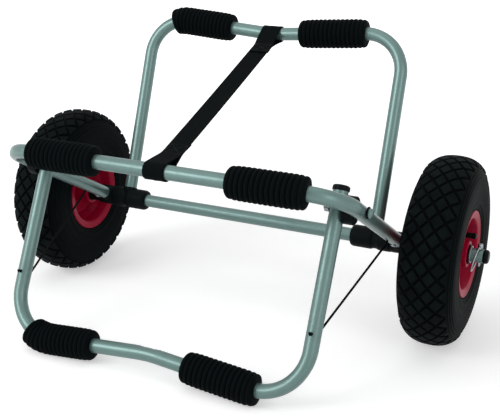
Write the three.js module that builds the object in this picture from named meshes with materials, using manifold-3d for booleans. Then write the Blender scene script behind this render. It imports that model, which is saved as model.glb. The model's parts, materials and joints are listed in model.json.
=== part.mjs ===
// Kayak cart: two bent-tube frames and a folding stand on one axle tube, with two
// pneumatic wheels held by linch pins. Millimetres, +Z up, x along the axle.
// The rear frame and the front frame open to a V that a strap holds, and two stay
// cords stop the stand. The cart stands open, on its tyres and on the stand's grips.
import * as THREE from 'three';
import { mergeVertices } from 'three/addons/utils/BufferGeometryUtils.js';
import Module from 'manifold-3d';

const wasm = await Module();
wasm.setup();

// Driving dimensions: wheels
const wheelDiameter = 260;
const tyreWidth = 74.5;
const tyreShoulderShare = 0.557;
const tyreOuterShares = [0.7, 1];
const tyreInnerShares = [0.5, 1];
const tyreCrownShare = 0.36;
const tyreSquareness = 0.8;
const tyreTreadWall = 7;
const tyreSideWall = 4;
const tyreBulge = 3.25;
const treadRows = 5;
const treadBlocksAround = 33;
const treadShare = 0.8;
const treadDepth = 2.4;
const treadTopShare = 0.75;
const rimFlangeDiameter = 120;
const rimFlangeHeight = 8.5;
const rimWellDepth = 3;
const rimWall = 3;
const rimFlangeWall = 2.6;
const rimWebWall = 7;
const hubBarrelWall = 5.5;
const hubBarrelLength = 64;
const innerTubeWall = 2;
const bushWall = 3;
const bushDepth = 18;
const bushFlangeHeight = 2.5;
const bushFlangeWall = 1.6;
const valveRadius = 3.8;
const valveBaseRadius = 2.8;
const valveElbowRadius = 5.5;
const valveCircleRadius = 37;
const valveAngle = THREE.MathUtils.degToRad(23);
const valveBaseOffset = 11;
const valveTipInset = 6;
const valveCapLength = 9;
const valveCapRadius = 4.3;

// Driving dimensions: axle
const axleDiameter = 19;
const axleWall = 1.6;
const axleOverhang = 15.8;
const axleCapLength = 7.6;
const axleCapPlugLength = 14;
const washerRim = 2.5;
const washerWall = 1.8;
const wheelSpacerWall = 3;
const wheelSpacerLength = 17.7;

// Driving dimensions: linch pins
const linchPinDiameter = 4.6;
const linchPinInset = 5.5;
const linchPinTipLength = 6;
const linchHeadDiameter = 11;
const linchHeadHeight = 8;
const linchHoleDiameter = 5.2;
const linchRingRadius = 18.5;
const linchWireDiameter = 2.2;
const linchRingTilt = THREE.MathUtils.degToRad(13);

// Driving dimensions: frames
const tubeDiameter = 19;
const tubeWall = 1.5;
const rearFrameWidth = 407.6;
const frameStep = 37.4;
const rearFrameLength = 291;
const rearFrameDip = 15;
const rearFrameBend = 55;
const rearFrameAngle = THREE.MathUtils.degToRad(109.3);
const frontFrameLength = 280.7;
const frontFrameBend = 50;
const frontFrameAngle = THREE.MathUtils.degToRad(28.5);
const standFootReach = 96.86;
const standDip = 16.7;
const standBend = 60;
const standOverhang = 23;
const pivotSetback = 69.2;
const crownBend = 200;

// Driving dimensions: sockets, eyes and rivets
const socketWall = 6;
const socketInnerReach = 33.8;
const socketRounding = 5;
const socketWaistDepth = 1.6;
const socketWaistLength = 5;
const eyeWall = 5.5;
const eyeLength = 24;
const neckLength = 1.6;
const spigotLength = 32;
const rivetDiameter = 4;
const rivetHeadDiameter = 8;
const rivetHeadHeight = 1.6;
const rivetDepth = 12;
const rivetSetback = 16;

// Driving dimensions: stand pivots
const pivotGap = 8.8;
const spacerDiameter = 35;
const spacerSaddleDepth = 5;
const boltDiameter = 6;
const boltHeadDiameter = 12;
const boltHeadHeight = 5.4;
const pivotWasherDiameter = 15;
const pivotWasherWall = 1.8;
const nutAcrossCorners = 11.5;
const nutLength = 6;

// Driving dimensions: end caps, grips, strap and stay cords
const standCapLip = 1.25;
const standCapHeight = 5.5;
const standCapPlugLength = 13;
const gripWall = 11.5;
const gripRibDepth = 2.75;
const gripEndWall = 7;
const gripLength = 100;
const ribsPerGrip = 15;
const rearGripSetbackLeft = 86.8;
const rearGripSetbackRight = 107.8;
const frontGripSetbackLeft = 101.2;
const frontGripSetbackRight = 92.2;
const standGripSetbackLeft = 81.4;
const standGripSetbackRight = 107.4;
const standTouchShare = 0.61;
const strapWidth = 30;
const strapLayer = 1.4;
const strapSlack = 0.8;
const strapSeamStart = 34;
const cordDiameter = 3;
const cordHoleGap = 0.7;
const cordFrameSetback = 69;
const cordStandShare = 0.64;
const cordLead = 4;
const cordTurnRadius = 5;
const knotDiameter = 7.5;

// Running and seating clearances, and one overrun for every cut
const seatGap = 0.3;
const runningGap = 0.25;
const overrun = 4;

// How finely the round shapes are faceted
const tubeSides = 12;
const rimFacets = 24;
const innerTubeFacets = 16;
const fittingFacets = 16;
const smallFacets = 10;
const gripFacets = 8;
const cordSides = 8;
const strapTurns = 6;
const bendSteps = 5;
const crownSteps = 1;

// Sizes that follow from the driving dimensions
const tubeRadius = tubeDiameter / 2;
const tubeBore = tubeRadius - tubeWall;
const axleRadius = axleDiameter / 2;
const axleHeight = wheelDiameter / 2;
const rearHalf = rearFrameWidth / 2;
const frontHalf = rearHalf + frameStep;
const standHalf = frontHalf - tubeDiameter - pivotGap;
const pivotReach = frontFrameLength - pivotSetback;
const pivotHeight = axleHeight + pivotReach * Math.sin(frontFrameAngle);
const gripRadius = tubeRadius + gripWall;
const standTouchLength = Math.hypot(standFootReach, pivotHeight - gripRadius);
const standLegLength = standTouchLength + standDip * (1 - standTouchShare);
const standLean = Math.atan2(standFootReach, pivotHeight - gripRadius);
const socketRadius = axleRadius + socketWall;
const eyeRadius = axleRadius + eyeWall;
const eyeInnerEnd = frontHalf - eyeLength / 2;
const eyeOuterEnd = frontHalf + eyeLength / 2;
const hubHalf = hubBarrelLength / 2 + bushFlangeWall;
const wheelOffset = eyeOuterEnd + wheelSpacerLength + hubHalf;
const axleHalf = wheelOffset + hubHalf + seatGap + washerWall + axleOverhang;
const linchPinX = axleHalf - linchPinInset;
const cordHoleDiameter = cordDiameter + 2 * cordHoleGap;
const rimHalf = tyreWidth / 2 - tyreBulge;
const rimSeatRadius = rimFlangeDiameter / 2 - rimFlangeHeight;
const rimWellRadius = rimSeatRadius - rimWellDepth;
const bushRadius = axleRadius + bushWall;

const sides = [['left', -1], ['right', 1]];
const rightAngle = Math.PI / 2;

// Materials
const finish = (color, roughness, metalness) =>
  new THREE.MeshStandardMaterial({ color, roughness, metalness });
const finishes = {
  tube: () => finish(0x9aa8a3, 0.38, 0.9),
  steel: () => finish(0xa8b0b6, 0.3, 1),
  socket: () => finish(0x14171a, 0.5, 0),
  grip: () => finish(0x111416, 0.75, 0),
  tyre: () => finish(0x17191a, 0.8, 0),
  butyl: () => finish(0x1c1c1c, 0.7, 0),
  rim: () => finish(0xa8122c, 0.35, 0),
  nylon: () => finish(0x1a1c1e, 0.45, 0),
  webbing: () => finish(0x101214, 0.9, 0),
  cord: () => finish(0x0e0f10, 0.85, 0),
};

// Welds a geometry to shared positions, drops collapsed faces and turns it to face out
function weld(geometry) {
  const bare = geometry.clone();
  bare.deleteAttribute('normal');
  bare.deleteAttribute('uv');
  const merged = mergeVertices(bare);
  const index = merged.index.array;
  const kept = [];
  for (let i = 0; i < index.length; i += 3) {
    const [a, b, c] = [index[i], index[i + 1], index[i + 2]];
    if (a !== b && b !== c && c !== a) {
      kept.push(a, b, c);
    }
  }
  merged.setIndex(signedVolume(merged.attributes.position, kept) < 0 ? kept.reverse() : kept);
  return merged;
}

function signedVolume(position, index) {
  const corners = [0, 1, 2].map(() => new THREE.Vector3());
  let sum = 0;
  for (let i = 0; i < index.length; i += 3) {
    corners.forEach((corner, k) => corner.fromBufferAttribute(position, index[i + k]));
    sum += corners[0].dot(corners[1].clone().cross(corners[2]));
  }
  return sum;
}

function solidOf(geometry) {
  const welded = weld(geometry);
  return new wasm.Manifold(new wasm.Mesh({
    numProp: 3,
    vertProperties: new Float32Array(welded.attributes.position.array),
    triVerts: new Uint32Array(welded.index.array),
  }));
}

function geometryOf(solid) {
  const mesh = solid.getMesh();
  const geometry = new THREE.BufferGeometry();
  geometry.setAttribute('position', new THREE.BufferAttribute(mesh.vertProperties, 3));
  geometry.setIndex(Array.from(mesh.triVerts));
  return geometry;
}

// Joins the added shapes and then cuts the removed ones
function shaped(added, removed = []) {
  let solid = solidOf(added[0]);
  for (const extra of added.slice(1)) {
    solid = solid.add(solidOf(extra));
  }
  for (const cutter of removed) {
    solid = solid.subtract(solidOf(cutter));
  }
  return geometryOf(solid);
}

// A turned shape about the x axis: each profile point is [along x, radius]
function turned(profile, facets) {
  const points = profile.map(([along, radius]) => new THREE.Vector2(radius, along));
  return new THREE.LatheGeometry(points, facets).rotateZ(-rightAngle);
}

// A closed turned ring: the profile comes back to its first point
const turnedRing = (profile, facets) => turned([...profile, profile[0]], facets);

// A solid rod along x, from start to end
const rod = (start, end, radius, facets) =>
  turned([[start, 0], [start, radius], [end, radius], [end, 0]], facets);

// A sleeve along x with a bore that stays clear of a round bar at every angle
const sleeve = (start, end, radius, bore, facets) =>
  turnedRing([[start, bore], [start, radius], [end, radius], [end, bore]], facets);

// The corner radius of a faceted bore whose flats clear a bar of that radius
const boreFor = (radius, gap, facets) => (radius + gap) / Math.cos(Math.PI / facets);

// A route is a run of straight and round pieces: each has its length, and gives the
// point and the direction at a distance along it
function straightPiece(start, end) {
  const direction = end.clone().sub(start).normalize();
  return {
    length: end.distanceTo(start),
    steps: 1,
    at: (distance) => ({ point: start.clone().addScaledVector(direction, distance), direction }),
  };
}

function roundPiece(start, before, after, radius, angle, steps) {
  const inward = after.clone().addScaledVector(before, -after.dot(before)).normalize();
  const centre = start.clone().addScaledVector(inward, radius);
  return {
    length: radius * angle,
    steps,
    at: (distance) => {
      const turn = distance / radius;
      return {
        point: centre.clone()
          .addScaledVector(inward, -radius * Math.cos(turn))
          .addScaledVector(before, radius * Math.sin(turn)),
        direction: before.clone().multiplyScalar(Math.cos(turn))
          .addScaledVector(inward, Math.sin(turn)),
      };
    },
  };
}

// The route through corners, rounded at each inner corner by its bend
function routeThrough(corners, bends) {
  const pieces = [];
  let from = corners[0];
  for (let i = 1; i < corners.length - 1; i += 1) {
    const before = corners[i].clone().sub(corners[i - 1]).normalize();
    const after = corners[i + 1].clone().sub(corners[i]).normalize();
    const angle = before.angleTo(after);
    const setback = bends[i - 1].radius * Math.tan(angle / 2);
    const arcStart = corners[i].clone().addScaledVector(before, -setback);
    pieces.push(straightPiece(from, arcStart));
    pieces.push(roundPiece(arcStart, before, after, bends[i - 1].radius, angle, bends[i - 1].steps));
    from = corners[i].clone().addScaledVector(after, setback);
  }
  pieces.push(straightPiece(from, corners[corners.length - 1]));
  return pieces;
}

const routeLength = (route) => route.reduce((sum, piece) => sum + piece.length, 0);

// The places where a route's pieces start, end or turn, with their distances along it
function stationsOf(route) {
  const stations = [{ distance: 0, ...route[0].at(0) }];
  let passed = 0;
  for (const piece of route) {
    for (let i = 1; i <= piece.steps; i += 1) {
      const along = piece.length * i / piece.steps;
      stations.push({ distance: passed + along, ...piece.at(along) });
    }
    passed += piece.length;
  }
  return stations;
}

// The place at a distance along the facets of a tube that follows the stations
function placeOn(stations, distance) {
  const next = stations.findIndex((station, i) => i > 0 && station.distance >= distance);
  const [a, b] = [stations[next - 1], stations[next]];
  const share = (distance - a.distance) / (b.distance - a.distance);
  return {
    point: a.point.clone().lerp(b.point, share),
    direction: a.direction.clone().lerp(b.direction, share).normalize(),
  };
}

// A curve that visits a route only at its stations
class StationCurve extends THREE.Curve {
  constructor(route) {
    super();
    this.stations = stationsOf(route);
    this.steps = this.stations.length - 1;
  }

  station(share) {
    return this.stations[Math.round(share * this.steps)];
  }

  getPoint(share, target = new THREE.Vector3()) {
    return target.copy(this.station(share).point);
  }

  getPointAt(share, target) {
    return this.getPoint(share, target);
  }

  getTangentAt(share, target = new THREE.Vector3()) {
    return target.copy(this.station(share).direction);
  }
}

function sectionAlong(route, radius, bore, faceSides) {
  const section = new THREE.Shape();
  section.absarc(0, 0, radius, 0, 2 * Math.PI);
  if (bore > 0) {
    const hole = new THREE.Path();
    hole.absarc(0, 0, bore, 0, 2 * Math.PI, true);
    section.holes.push(hole);
  }
  const curve = new StationCurve(route);
  return new THREE.ExtrudeGeometry(section, {
    steps: curve.steps,
    curveSegments: faceSides / 2,
    extrudePath: curve,
    bevelEnabled: false,
  });
}

// One bent frame in its own plane: x across, z along the legs. The crown's middle is
// drawn in by the dip, and the crown points up or down.
function frameRoute(half, footZ, crownZ, dip, bend) {
  const inward = Math.sign(footZ - crownZ);
  const corners = [
    new THREE.Vector3(-half, 0, footZ),
    new THREE.Vector3(-half, 0, crownZ),
    new THREE.Vector3(0, 0, crownZ + inward * dip),
    new THREE.Vector3(half, 0, crownZ),
    new THREE.Vector3(half, 0, footZ),
  ];
  const corner = { radius: bend, steps: bendSteps };
  const crown = { radius: crownBend, steps: crownSteps };
  return dip > 0
    ? routeThrough(corners, [corner, crown, corner])
    : routeThrough(corners.filter((_, i) => i !== 2), [corner, corner]);
}

const rearRoute = frameRoute(
  rearHalf, socketRadius + neckLength, rearFrameLength, rearFrameDip, rearFrameBend,
);
const frontRoute = frameRoute(
  frontHalf, eyeRadius + neckLength, frontFrameLength, 0, frontFrameBend,
);
const standRoute = frameRoute(standHalf, standOverhang, -standLegLength, standDip, standBend);

// A hole straight through or into a tube: a rod from one point along a direction
function drill(start, direction, length, diameter) {
  const hole = new THREE.CylinderGeometry(diameter / 2, diameter / 2, length, smallFacets);
  hole.translate(0, length / 2, 0);
  hole.applyQuaternion(new THREE.Quaternion().setFromUnitVectors(
    new THREE.Vector3(0, 1, 0), direction.clone().normalize(),
  ));
  return hole.translate(start.x, start.y, start.z);
}

// A ribbed foam sleeve that follows a route, with its bore clear of the tube's facets
function ribbedGrip(route, centre) {
  const bore = boreFor(tubeRadius, seatGap, gripFacets);
  const pitch = gripLength / ribsPerGrip;
  const stations = stationsOf(route);
  const start = routeLength(route) / 2 + centre - gripLength / 2;
  const endRadius = tubeRadius + gripEndWall;
  const rings = [{ distance: 0, radius: bore }, { distance: 0, radius: endRadius }];
  for (let rib = 0; rib < ribsPerGrip; rib += 1) {
    const fromMiddle = Math.abs((rib + 0.5) / ribsPerGrip - 0.5) * 2;
    const crest = gripRadius - gripRibDepth * fromMiddle ** 8;
    rings.push({ distance: pitch * (rib + 0.5), radius: crest });
    if (rib < ribsPerGrip - 1) {
      rings.push({ distance: pitch * (rib + 1), radius: gripRadius - gripRibDepth });
    }
  }
  rings.push({ distance: gripLength, radius: endRadius });
  const turns = stations.map((station) => station.distance - start)
    .filter((distance) => distance > 0 && distance < gripLength);
  for (const distance of [gripLength, ...turns.reverse()]) {
    rings.push({ distance, radius: bore });
  }
  return ringsAlong(stations, start, rings);
}

// Joins rings about a route into one closed skin: the last ring meets the first
function ringsAlong(stations, start, rings) {
  const across = new THREE.Vector3(0, 1, 0);
  const positions = [];
  for (const ring of rings) {
    const { point, direction } = placeOn(stations, start + ring.distance);
    const inPlane = direction.clone().cross(across);
    for (let k = 0; k < gripFacets; k += 1) {
      const angle = 2 * Math.PI * k / gripFacets;
      const vertex = point.clone()
        .addScaledVector(across, ring.radius * Math.cos(angle))
        .addScaledVector(inPlane, ring.radius * Math.sin(angle));
      positions.push(vertex.x, vertex.y, vertex.z);
    }
  }
  const index = [];
  for (let r = 0; r < rings.length; r += 1) {
    const next = (r + 1) % rings.length;
    for (let k = 0; k < gripFacets; k += 1) {
      const [a, b] = [r * gripFacets + k, r * gripFacets + (k + 1) % gripFacets];
      const [c, d] = [next * gripFacets + k, next * gripFacets + (k + 1) % gripFacets];
      index.push(a, b, d, a, d, c);
    }
  }
  const geometry = new THREE.BufferGeometry();
  geometry.setAttribute('position', new THREE.Float32BufferAttribute(positions, 3));
  geometry.setIndex(index);
  return geometry;
}

function part(group, name, geometry, material) {
  const mesh = new THREE.Mesh(weld(geometry), material());
  mesh.name = name;
  group.add(mesh);
  return mesh;
}

// Local directions in a frame's own plane
const up = new THREE.Vector3(0, 0, 1);
const back = new THREE.Vector3(0, 1, 0);
const outward = new THREE.Vector3(1, 0, 0);

// The stay cord's ends: a hole in the front frame's side tube and one in the stand's leg
const cordOnFrame = (sign) => new THREE.Vector3(sign * frontHalf, 0, cordFrameSetback);
const cordOnStand = (sign) =>
  new THREE.Vector3(sign * standHalf, 0, -standLegLength * cordStandShare);

// Axle tube with its linch-pin holes, and the caps that close it
function addAxle(group) {
  const half = axleHalf;
  const pinHoles = sides.map(([, sign]) => drill(
    new THREE.Vector3(sign * linchPinX, 0, -axleRadius - overrun), up,
    axleDiameter + 2 * overrun, linchPinDiameter + 4 * runningGap,
  ));
  const tube = sleeve(-half, half, axleRadius, axleRadius - axleWall, fittingFacets);
  part(group, 'axle_tube', shaped([tube], pinHoles), finishes.tube);

  for (const [side, sign] of sides) {
    const plug = axleRadius - axleWall - seatGap;
    const rounding = axleCapLength / 4;
    const cap = turned([
      [half - axleCapPlugLength, 0],
      [half - axleCapPlugLength, plug],
      [half + seatGap, plug],
      [half + seatGap, axleRadius],
      [half + axleCapLength - rounding, axleRadius],
      [half + axleCapLength, axleRadius - rounding],
      [half + axleCapLength, 0],
    ], fittingFacets);
    const pinHole = drill(
      new THREE.Vector3(linchPinX, 0, -axleRadius), up,
      axleDiameter, linchPinDiameter + 4 * runningGap,
    );
    const mesh = part(group, `axle_cap_${side}`, shaped([cap], [pinHole]), finishes.nylon);
    mesh.rotation.z = sign < 0 ? Math.PI : 0;
  }
}

// The spacer between eye and wheel, and the washer outside the wheel
function addAxleRings(group) {
  const bore = boreFor(axleRadius, seatGap, fittingFacets);
  const hubInner = wheelOffset - hubHalf;
  const hubOuter = wheelOffset + hubHalf;
  for (const [side, sign] of sides) {
    const spacer = sleeve(
      eyeOuterEnd + seatGap, hubInner - seatGap, axleRadius + wheelSpacerWall, bore, fittingFacets,
    );
    const washer = sleeve(
      hubOuter + seatGap, hubOuter + seatGap + washerWall, axleRadius + washerRim, bore, fittingFacets,
    );
    const turn = sign < 0 ? Math.PI : 0;
    part(group, `wheel_spacer_${side}`, spacer, finishes.nylon).rotation.z = turn;
    part(group, `axle_washer_${side}`, washer, finishes.steel).rotation.z = turn;
  }
}

// A spigot along z that a frame tube slips over, on a neck that stops the tube
function spigot(x, bodyRadius) {
  const neck = new THREE.CylinderGeometry(
    tubeRadius, tubeRadius, bodyRadius + neckLength - seatGap, fittingFacets,
  ).rotateX(rightAngle).translate(x, 0, (bodyRadius + neckLength - seatGap) / 2);
  const peg = new THREE.CylinderGeometry(
    tubeBore - seatGap, tubeBore - seatGap, spigotLength, fittingFacets,
  ).rotateX(rightAngle).translate(x, 0, bodyRadius + neckLength - seatGap + spigotLength / 2);
  return [neck, peg];
}

// The hole for a blind rivet in the face of a leg that looks along the given way
const rivetHole = (x, bodyRadius, way) => drill(
  new THREE.Vector3(x, way * (tubeRadius + overrun), bodyRadius + neckLength + rivetSetback),
  back.clone().multiplyScalar(-way),
  rivetDepth + overrun + seatGap,
  rivetDiameter + 2 * seatGap,
);

function rivet(x, bodyRadius, way) {
  const seat = tubeRadius + seatGap;
  const shape = turned([
    [seat - rivetDepth, 0],
    [seat - rivetDepth, rivetDiameter / 2],
    [seat, rivetDiameter / 2],
    [seat, rivetHeadDiameter / 2],
    [seat + rivetHeadHeight / 2, rivetHeadDiameter / 2],
    [seat + rivetHeadHeight, rivetHeadDiameter / 4],
    [seat + rivetHeadHeight, 0],
  ], smallFacets);
  return shape.rotateZ(way * rightAngle).translate(x, 0, bodyRadius + neckLength + rivetSetback);
}

// Front frame: bent tube with holes for its rivets, the stand's bolts and the cords
function addFrontFrame(group) {
  const cuts = [];
  for (const [, sign] of sides) {
    cuts.push(rivetHole(sign * frontHalf, eyeRadius, -1));
    cuts.push(drill(
      new THREE.Vector3(sign * (frontHalf - tubeRadius - overrun), 0, pivotReach),
      outward.clone().multiplyScalar(sign),
      tubeDiameter + 2 * overrun,
      boltDiameter + 2 * seatGap,
    ));
    cuts.push(drill(
      cordOnFrame(sign), back.clone().negate(), tubeDiameter, cordHoleDiameter,
    ));
  }
  const tube = sectionAlong(frontRoute, tubeRadius, tubeBore, tubeSides);
  part(group, 'front_frame_tube', shaped([tube], cuts), finishes.tube);
  const left = ribbedGrip(frontRoute, frontGripSetbackLeft - frontHalf);
  const right = ribbedGrip(frontRoute, frontHalf - frontGripSetbackRight);
  part(group, 'front_grip_left', left, finishes.grip);
  part(group, 'front_grip_right', right, finishes.grip);

  for (const [side, sign] of sides) {
    const x = sign * frontHalf;
    const ring = rod(sign * eyeInnerEnd, sign * eyeOuterEnd, eyeRadius, fittingFacets);
    const bore = rod(
      sign * (eyeInnerEnd - overrun), sign * (eyeOuterEnd + overrun),
      boreFor(axleRadius, seatGap, fittingFacets), fittingFacets,
    );
    const cuts = [bore, rivetHole(x, eyeRadius, -1)];
    const eye = shaped([ring, ...spigot(x, eyeRadius)], cuts);
    part(group, `front_frame_eye_${side}`, eye, finishes.socket);
    part(group, `front_frame_rivet_${side}`, rivet(x, eyeRadius, -1), finishes.steel);
  }
}

// Rear frame: bent tube on two sockets that turn on the axle tube
function addRearFrame(group) {
  const cuts = sides.map(([, sign]) => rivetHole(sign * rearHalf, socketRadius, 1));
  const tube = sectionAlong(rearRoute, tubeRadius, tubeBore, tubeSides);
  part(group, 'rear_frame_tube', shaped([tube], cuts), finishes.tube);
  const left = ribbedGrip(rearRoute, rearGripSetbackLeft - rearHalf);
  const right = ribbedGrip(rearRoute, rearHalf - rearGripSetbackRight);
  part(group, 'rear_grip_left', left, finishes.grip);
  part(group, 'rear_grip_right', right, finishes.grip);

  const radius = socketRadius;
  const innerEnd = rearHalf - socketInnerReach;
  const outerEnd = eyeInnerEnd - seatGap;
  const waist = rearHalf + socketWaistLength / 2;
  for (const [side, sign] of sides) {
    const x = sign * rearHalf;
    const body = turned([
      [innerEnd, 0],
      [innerEnd, radius - socketRounding],
      [innerEnd + socketRounding / 3, radius - socketRounding / 3],
      [innerEnd + socketRounding, radius],
      [waist - socketWaistLength, radius],
      [waist - socketWaistLength / 2, radius - socketWaistDepth],
      [waist + socketWaistLength / 2, radius - socketWaistDepth],
      [waist + socketWaistLength, radius],
      [outerEnd, radius],
      [outerEnd, 0],
    ].map(([along, r]) => [sign * along, r]), fittingFacets);
    const bore = rod(
      sign * (innerEnd - overrun), sign * (outerEnd + overrun),
      boreFor(axleRadius, runningGap, fittingFacets), fittingFacets,
    );
    const socket = shaped([body, ...spigot(x, radius)], [bore, rivetHole(x, radius, 1)]);
    part(group, `rear_socket_${side}`, socket, finishes.socket);
    part(group, `rear_socket_rivet_${side}`, rivet(x, radius, 1), finishes.steel);
  }
}

// Stand: bent tube on the pivot bolts, capped at its upper ends
function addStand(group) {
  const cuts = [];
  for (const [, sign] of sides) {
    cuts.push(drill(
      new THREE.Vector3(sign * (standHalf - tubeRadius - overrun), 0, 0),
      outward.clone().multiplyScalar(sign),
      tubeDiameter + 2 * overrun,
      boltDiameter + 4 * runningGap,
    ));
    const hole = cordOnStand(sign);
    hole.y -= tubeRadius + overrun;
    cuts.push(drill(hole, back, tubeDiameter + 2 * overrun, cordHoleDiameter));
  }
  const tube = sectionAlong(standRoute, tubeRadius, tubeBore, tubeSides);
  part(group, 'stand_tube', shaped([tube], cuts), finishes.tube);
  const left = ribbedGrip(standRoute, standGripSetbackLeft - standHalf);
  const right = ribbedGrip(standRoute, standHalf - standGripSetbackRight);
  part(group, 'stand_grip_left', left, finishes.grip);
  part(group, 'stand_grip_right', right, finishes.grip);

  for (const [side, sign] of sides) {
    const rounding = standCapHeight / 3;
    const cap = turned([
      [standOverhang - standCapPlugLength, 0],
      [standOverhang - standCapPlugLength, tubeBore - seatGap],
      [standOverhang + seatGap, tubeBore - seatGap],
      [standOverhang + seatGap, tubeRadius + standCapLip],
      [standOverhang + standCapHeight - rounding, tubeRadius + standCapLip],
      [standOverhang + standCapHeight, tubeRadius + standCapLip - rounding],
      [standOverhang + standCapHeight, 0],
    ], fittingFacets).rotateY(-rightAngle).translate(sign * standHalf, 0, 0);
    part(group, `stand_cap_${side}`, cap, finishes.nylon);
  }
}

// The stand's pivots, fixed to the front frame: saddle spacer, bolt, washer and nut.
// In this group x is along the bolt and z along the front frame's side tube.
function addPivots(group) {
  const standOuter = standHalf + tubeRadius;
  const frameOuter = frontHalf + tubeRadius;
  const washerStart = frameOuter + seatGap;
  const headStart = washerStart + pivotWasherWall + seatGap;
  const nutEnd = standHalf - tubeRadius - seatGap;
  const boltEnd = nutEnd - nutLength - boltDiameter / 4;
  const shankBore = boreFor(boltDiameter / 2, seatGap, smallFacets);
  for (const [side, sign] of sides) {
    const turn = sign < 0 ? Math.PI : 0;
    const saddle = new THREE.CylinderGeometry(
      boreFor(tubeRadius, seatGap, fittingFacets), boreFor(tubeRadius, seatGap, fittingFacets),
      spacerDiameter + 2 * overrun, fittingFacets,
    ).rotateX(rightAngle).translate(frontHalf, 0, 0);
    const block = sleeve(
      standOuter + seatGap, standOuter + pivotGap + spacerSaddleDepth,
      spacerDiameter / 2, shankBore, fittingFacets,
    );
    const bolt = turned([
      [boltEnd, 0],
      [boltEnd, boltDiameter / 2],
      [headStart, boltDiameter / 2],
      [headStart, boltHeadDiameter / 2],
      [headStart + boltHeadHeight / 2, boltHeadDiameter / 2],
      [headStart + boltHeadHeight, boltHeadDiameter / 4],
      [headStart + boltHeadHeight, 0],
    ], smallFacets);
    const washer = sleeve(
      washerStart, washerStart + pivotWasherWall, pivotWasherDiameter / 2, shankBore, smallFacets,
    );
    const nut = shaped(
      [turned([
        [nutEnd - nutLength, 0], [nutEnd - nutLength, nutAcrossCorners / 2],
        [nutEnd, nutAcrossCorners / 2], [nutEnd, 0],
      ], 6)],
      [rod(nutEnd - nutLength - overrun, nutEnd + overrun, shankBore, smallFacets)],
    );
    part(group, `pivot_spacer_${side}`, shaped([block], [saddle]), finishes.socket).rotation.z = turn;
    part(group, `pivot_bolt_${side}`, bolt, finishes.steel).rotation.z = turn;
    part(group, `pivot_washer_${side}`, washer, finishes.nylon).rotation.z = turn;
    part(group, `pivot_nut_${side}`, nut, finishes.steel).rotation.z = turn;
  }
}

// Half of a tyre's round outline, from the flat crown of the tread down to the bead
function tyreOutline(half, crown, shoulder, foot, shares) {
  const shoulderLine = shares.map((share) => share * rightAngle).map((angle) => [
    half * Math.sin(angle) ** tyreSquareness,
    crown - shoulder + shoulder * Math.cos(angle) ** tyreSquareness,
  ]);
  return [[half * tyreCrownShare, crown], ...shoulderLine, ...foot];
}

// Both halves of a line about the wheel's middle plane, drawn once on the axis side
const otherSide = (line) => line.slice().reverse().map(([x, r]) => [-x, r]);
const mirrored = (line) => [...otherSide(line), ...line];

// A point on a tyre's round outline, raised from it by a height
function onTyre(x, half, crown, shoulder, height) {
  const power = 2 / tyreSquareness;
  const across = Math.abs(x) / half;
  const inward = (1 - across ** power) ** (1 / power);
  const facing = new THREE.Vector2(
    Math.sign(x) * across ** (power - 1) / half, inward ** (power - 1) / shoulder,
  ).setLength(height);
  return [x + facing.x, crown - shoulder + shoulder * inward + facing.y];
}

// A tyre's skin: a net of grooves round the tread with a flat-topped diamond block in each
// mesh, closed by the carcass below it. Places round the wheel are counted in blocks from
// the floor up. The block at place zero of the middle row stands flat on the floor.
function tyreSkin(half, crown, shoulder, carcass) {
  const positions = [];
  const index = [];
  const vertex = ([x, radius], place) => {
    const angle = 2 * Math.PI * place / treadBlocksAround - rightAngle;
    positions.push(x, radius * Math.cos(angle), radius * Math.sin(angle));
    return positions.length / 3 - 1;
  };
  const ring = (point, first) => {
    const corners = Array.from({ length: treadBlocksAround }, (_, k) => vertex(point, first + k));
    return (place) => {
      const step = Math.round(place - first) % treadBlocksAround;
      return corners[(step + treadBlocksAround) % treadBlocksAround];
    };
  };

  const lastRow = (treadRows + 1) / 2;
  const rowStep = half * treadShare / lastRow;
  const onTread = (row, height) =>
    onTyre(row * rowStep, half, crown - treadDepth, shoulder - treadDepth, height);
  const rowShift = (row) => Math.abs(row) % 2 / 2;
  const grooves = new Map();
  for (let row = -lastRow; row <= lastRow; row += 1) {
    grooves.set(row, ring(onTread(row, 0), 0.5 - rowShift(row)));
  }
  const reach = treadTopShare / 2;
  const flatEnd = [0, crown / Math.cos(2 * Math.PI * reach / treadBlocksAround)];
  const flatSide = [treadTopShare * rowStep, crown];
  for (let row = 1 - lastRow; row < lastRow; row += 1) {
    const end = row === 0 ? flatEnd : onTread(row, treadDepth);
    const [low, high] = row === 0
      ? [otherSide([flatSide])[0], flatSide]
      : [-treadTopShare, treadTopShare].map((offset) => onTread(row + offset, treadDepth));
    for (let block = 0; block < treadBlocksAround; block += 1) {
      const place = block + rowShift(row);
      const corners = [
        grooves.get(row)(place - 0.5), grooves.get(row - 1)(place),
        grooves.get(row)(place + 0.5), grooves.get(row + 1)(place),
      ];
      const tops = [
        vertex(end, place - reach), vertex(low, place), vertex(end, place + reach), vertex(high, place),
      ];
      corners.forEach((corner, k) => {
        const next = (k + 1) % corners.length;
        index.push(corner, corners[next], tops[next], corner, tops[next], tops[k]);
      });
      index.push(tops[0], tops[1], tops[2], tops[0], tops[2], tops[3]);
    }
  }

  const shift = 0.5 - rowShift(lastRow);
  const rings = [
    grooves.get(lastRow), ...carcass.map((point) => ring(point, shift)), grooves.get(-lastRow),
  ];
  for (let block = 0; block < treadBlocksAround; block += 1) {
    const [start, end] = [block + shift, block + shift + 1];
    const between = (start + end) / 2;
    index.push(grooves.get(lastRow - 1)(between), rings[0](end), rings[0](start));
    const last = rings[rings.length - 1];
    index.push(grooves.get(1 - lastRow)(between), last(start), last(end));
    rings.slice(1).forEach((next, k) => {
      const here = rings[k];
      index.push(here(start), here(end), next(end), here(start), next(end), next(start));
    });
  }
  const geometry = new THREE.BufferGeometry();
  geometry.setAttribute('position', new THREE.Float32BufferAttribute(positions, 3));
  geometry.setIndex(index);
  return geometry;
}

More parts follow.
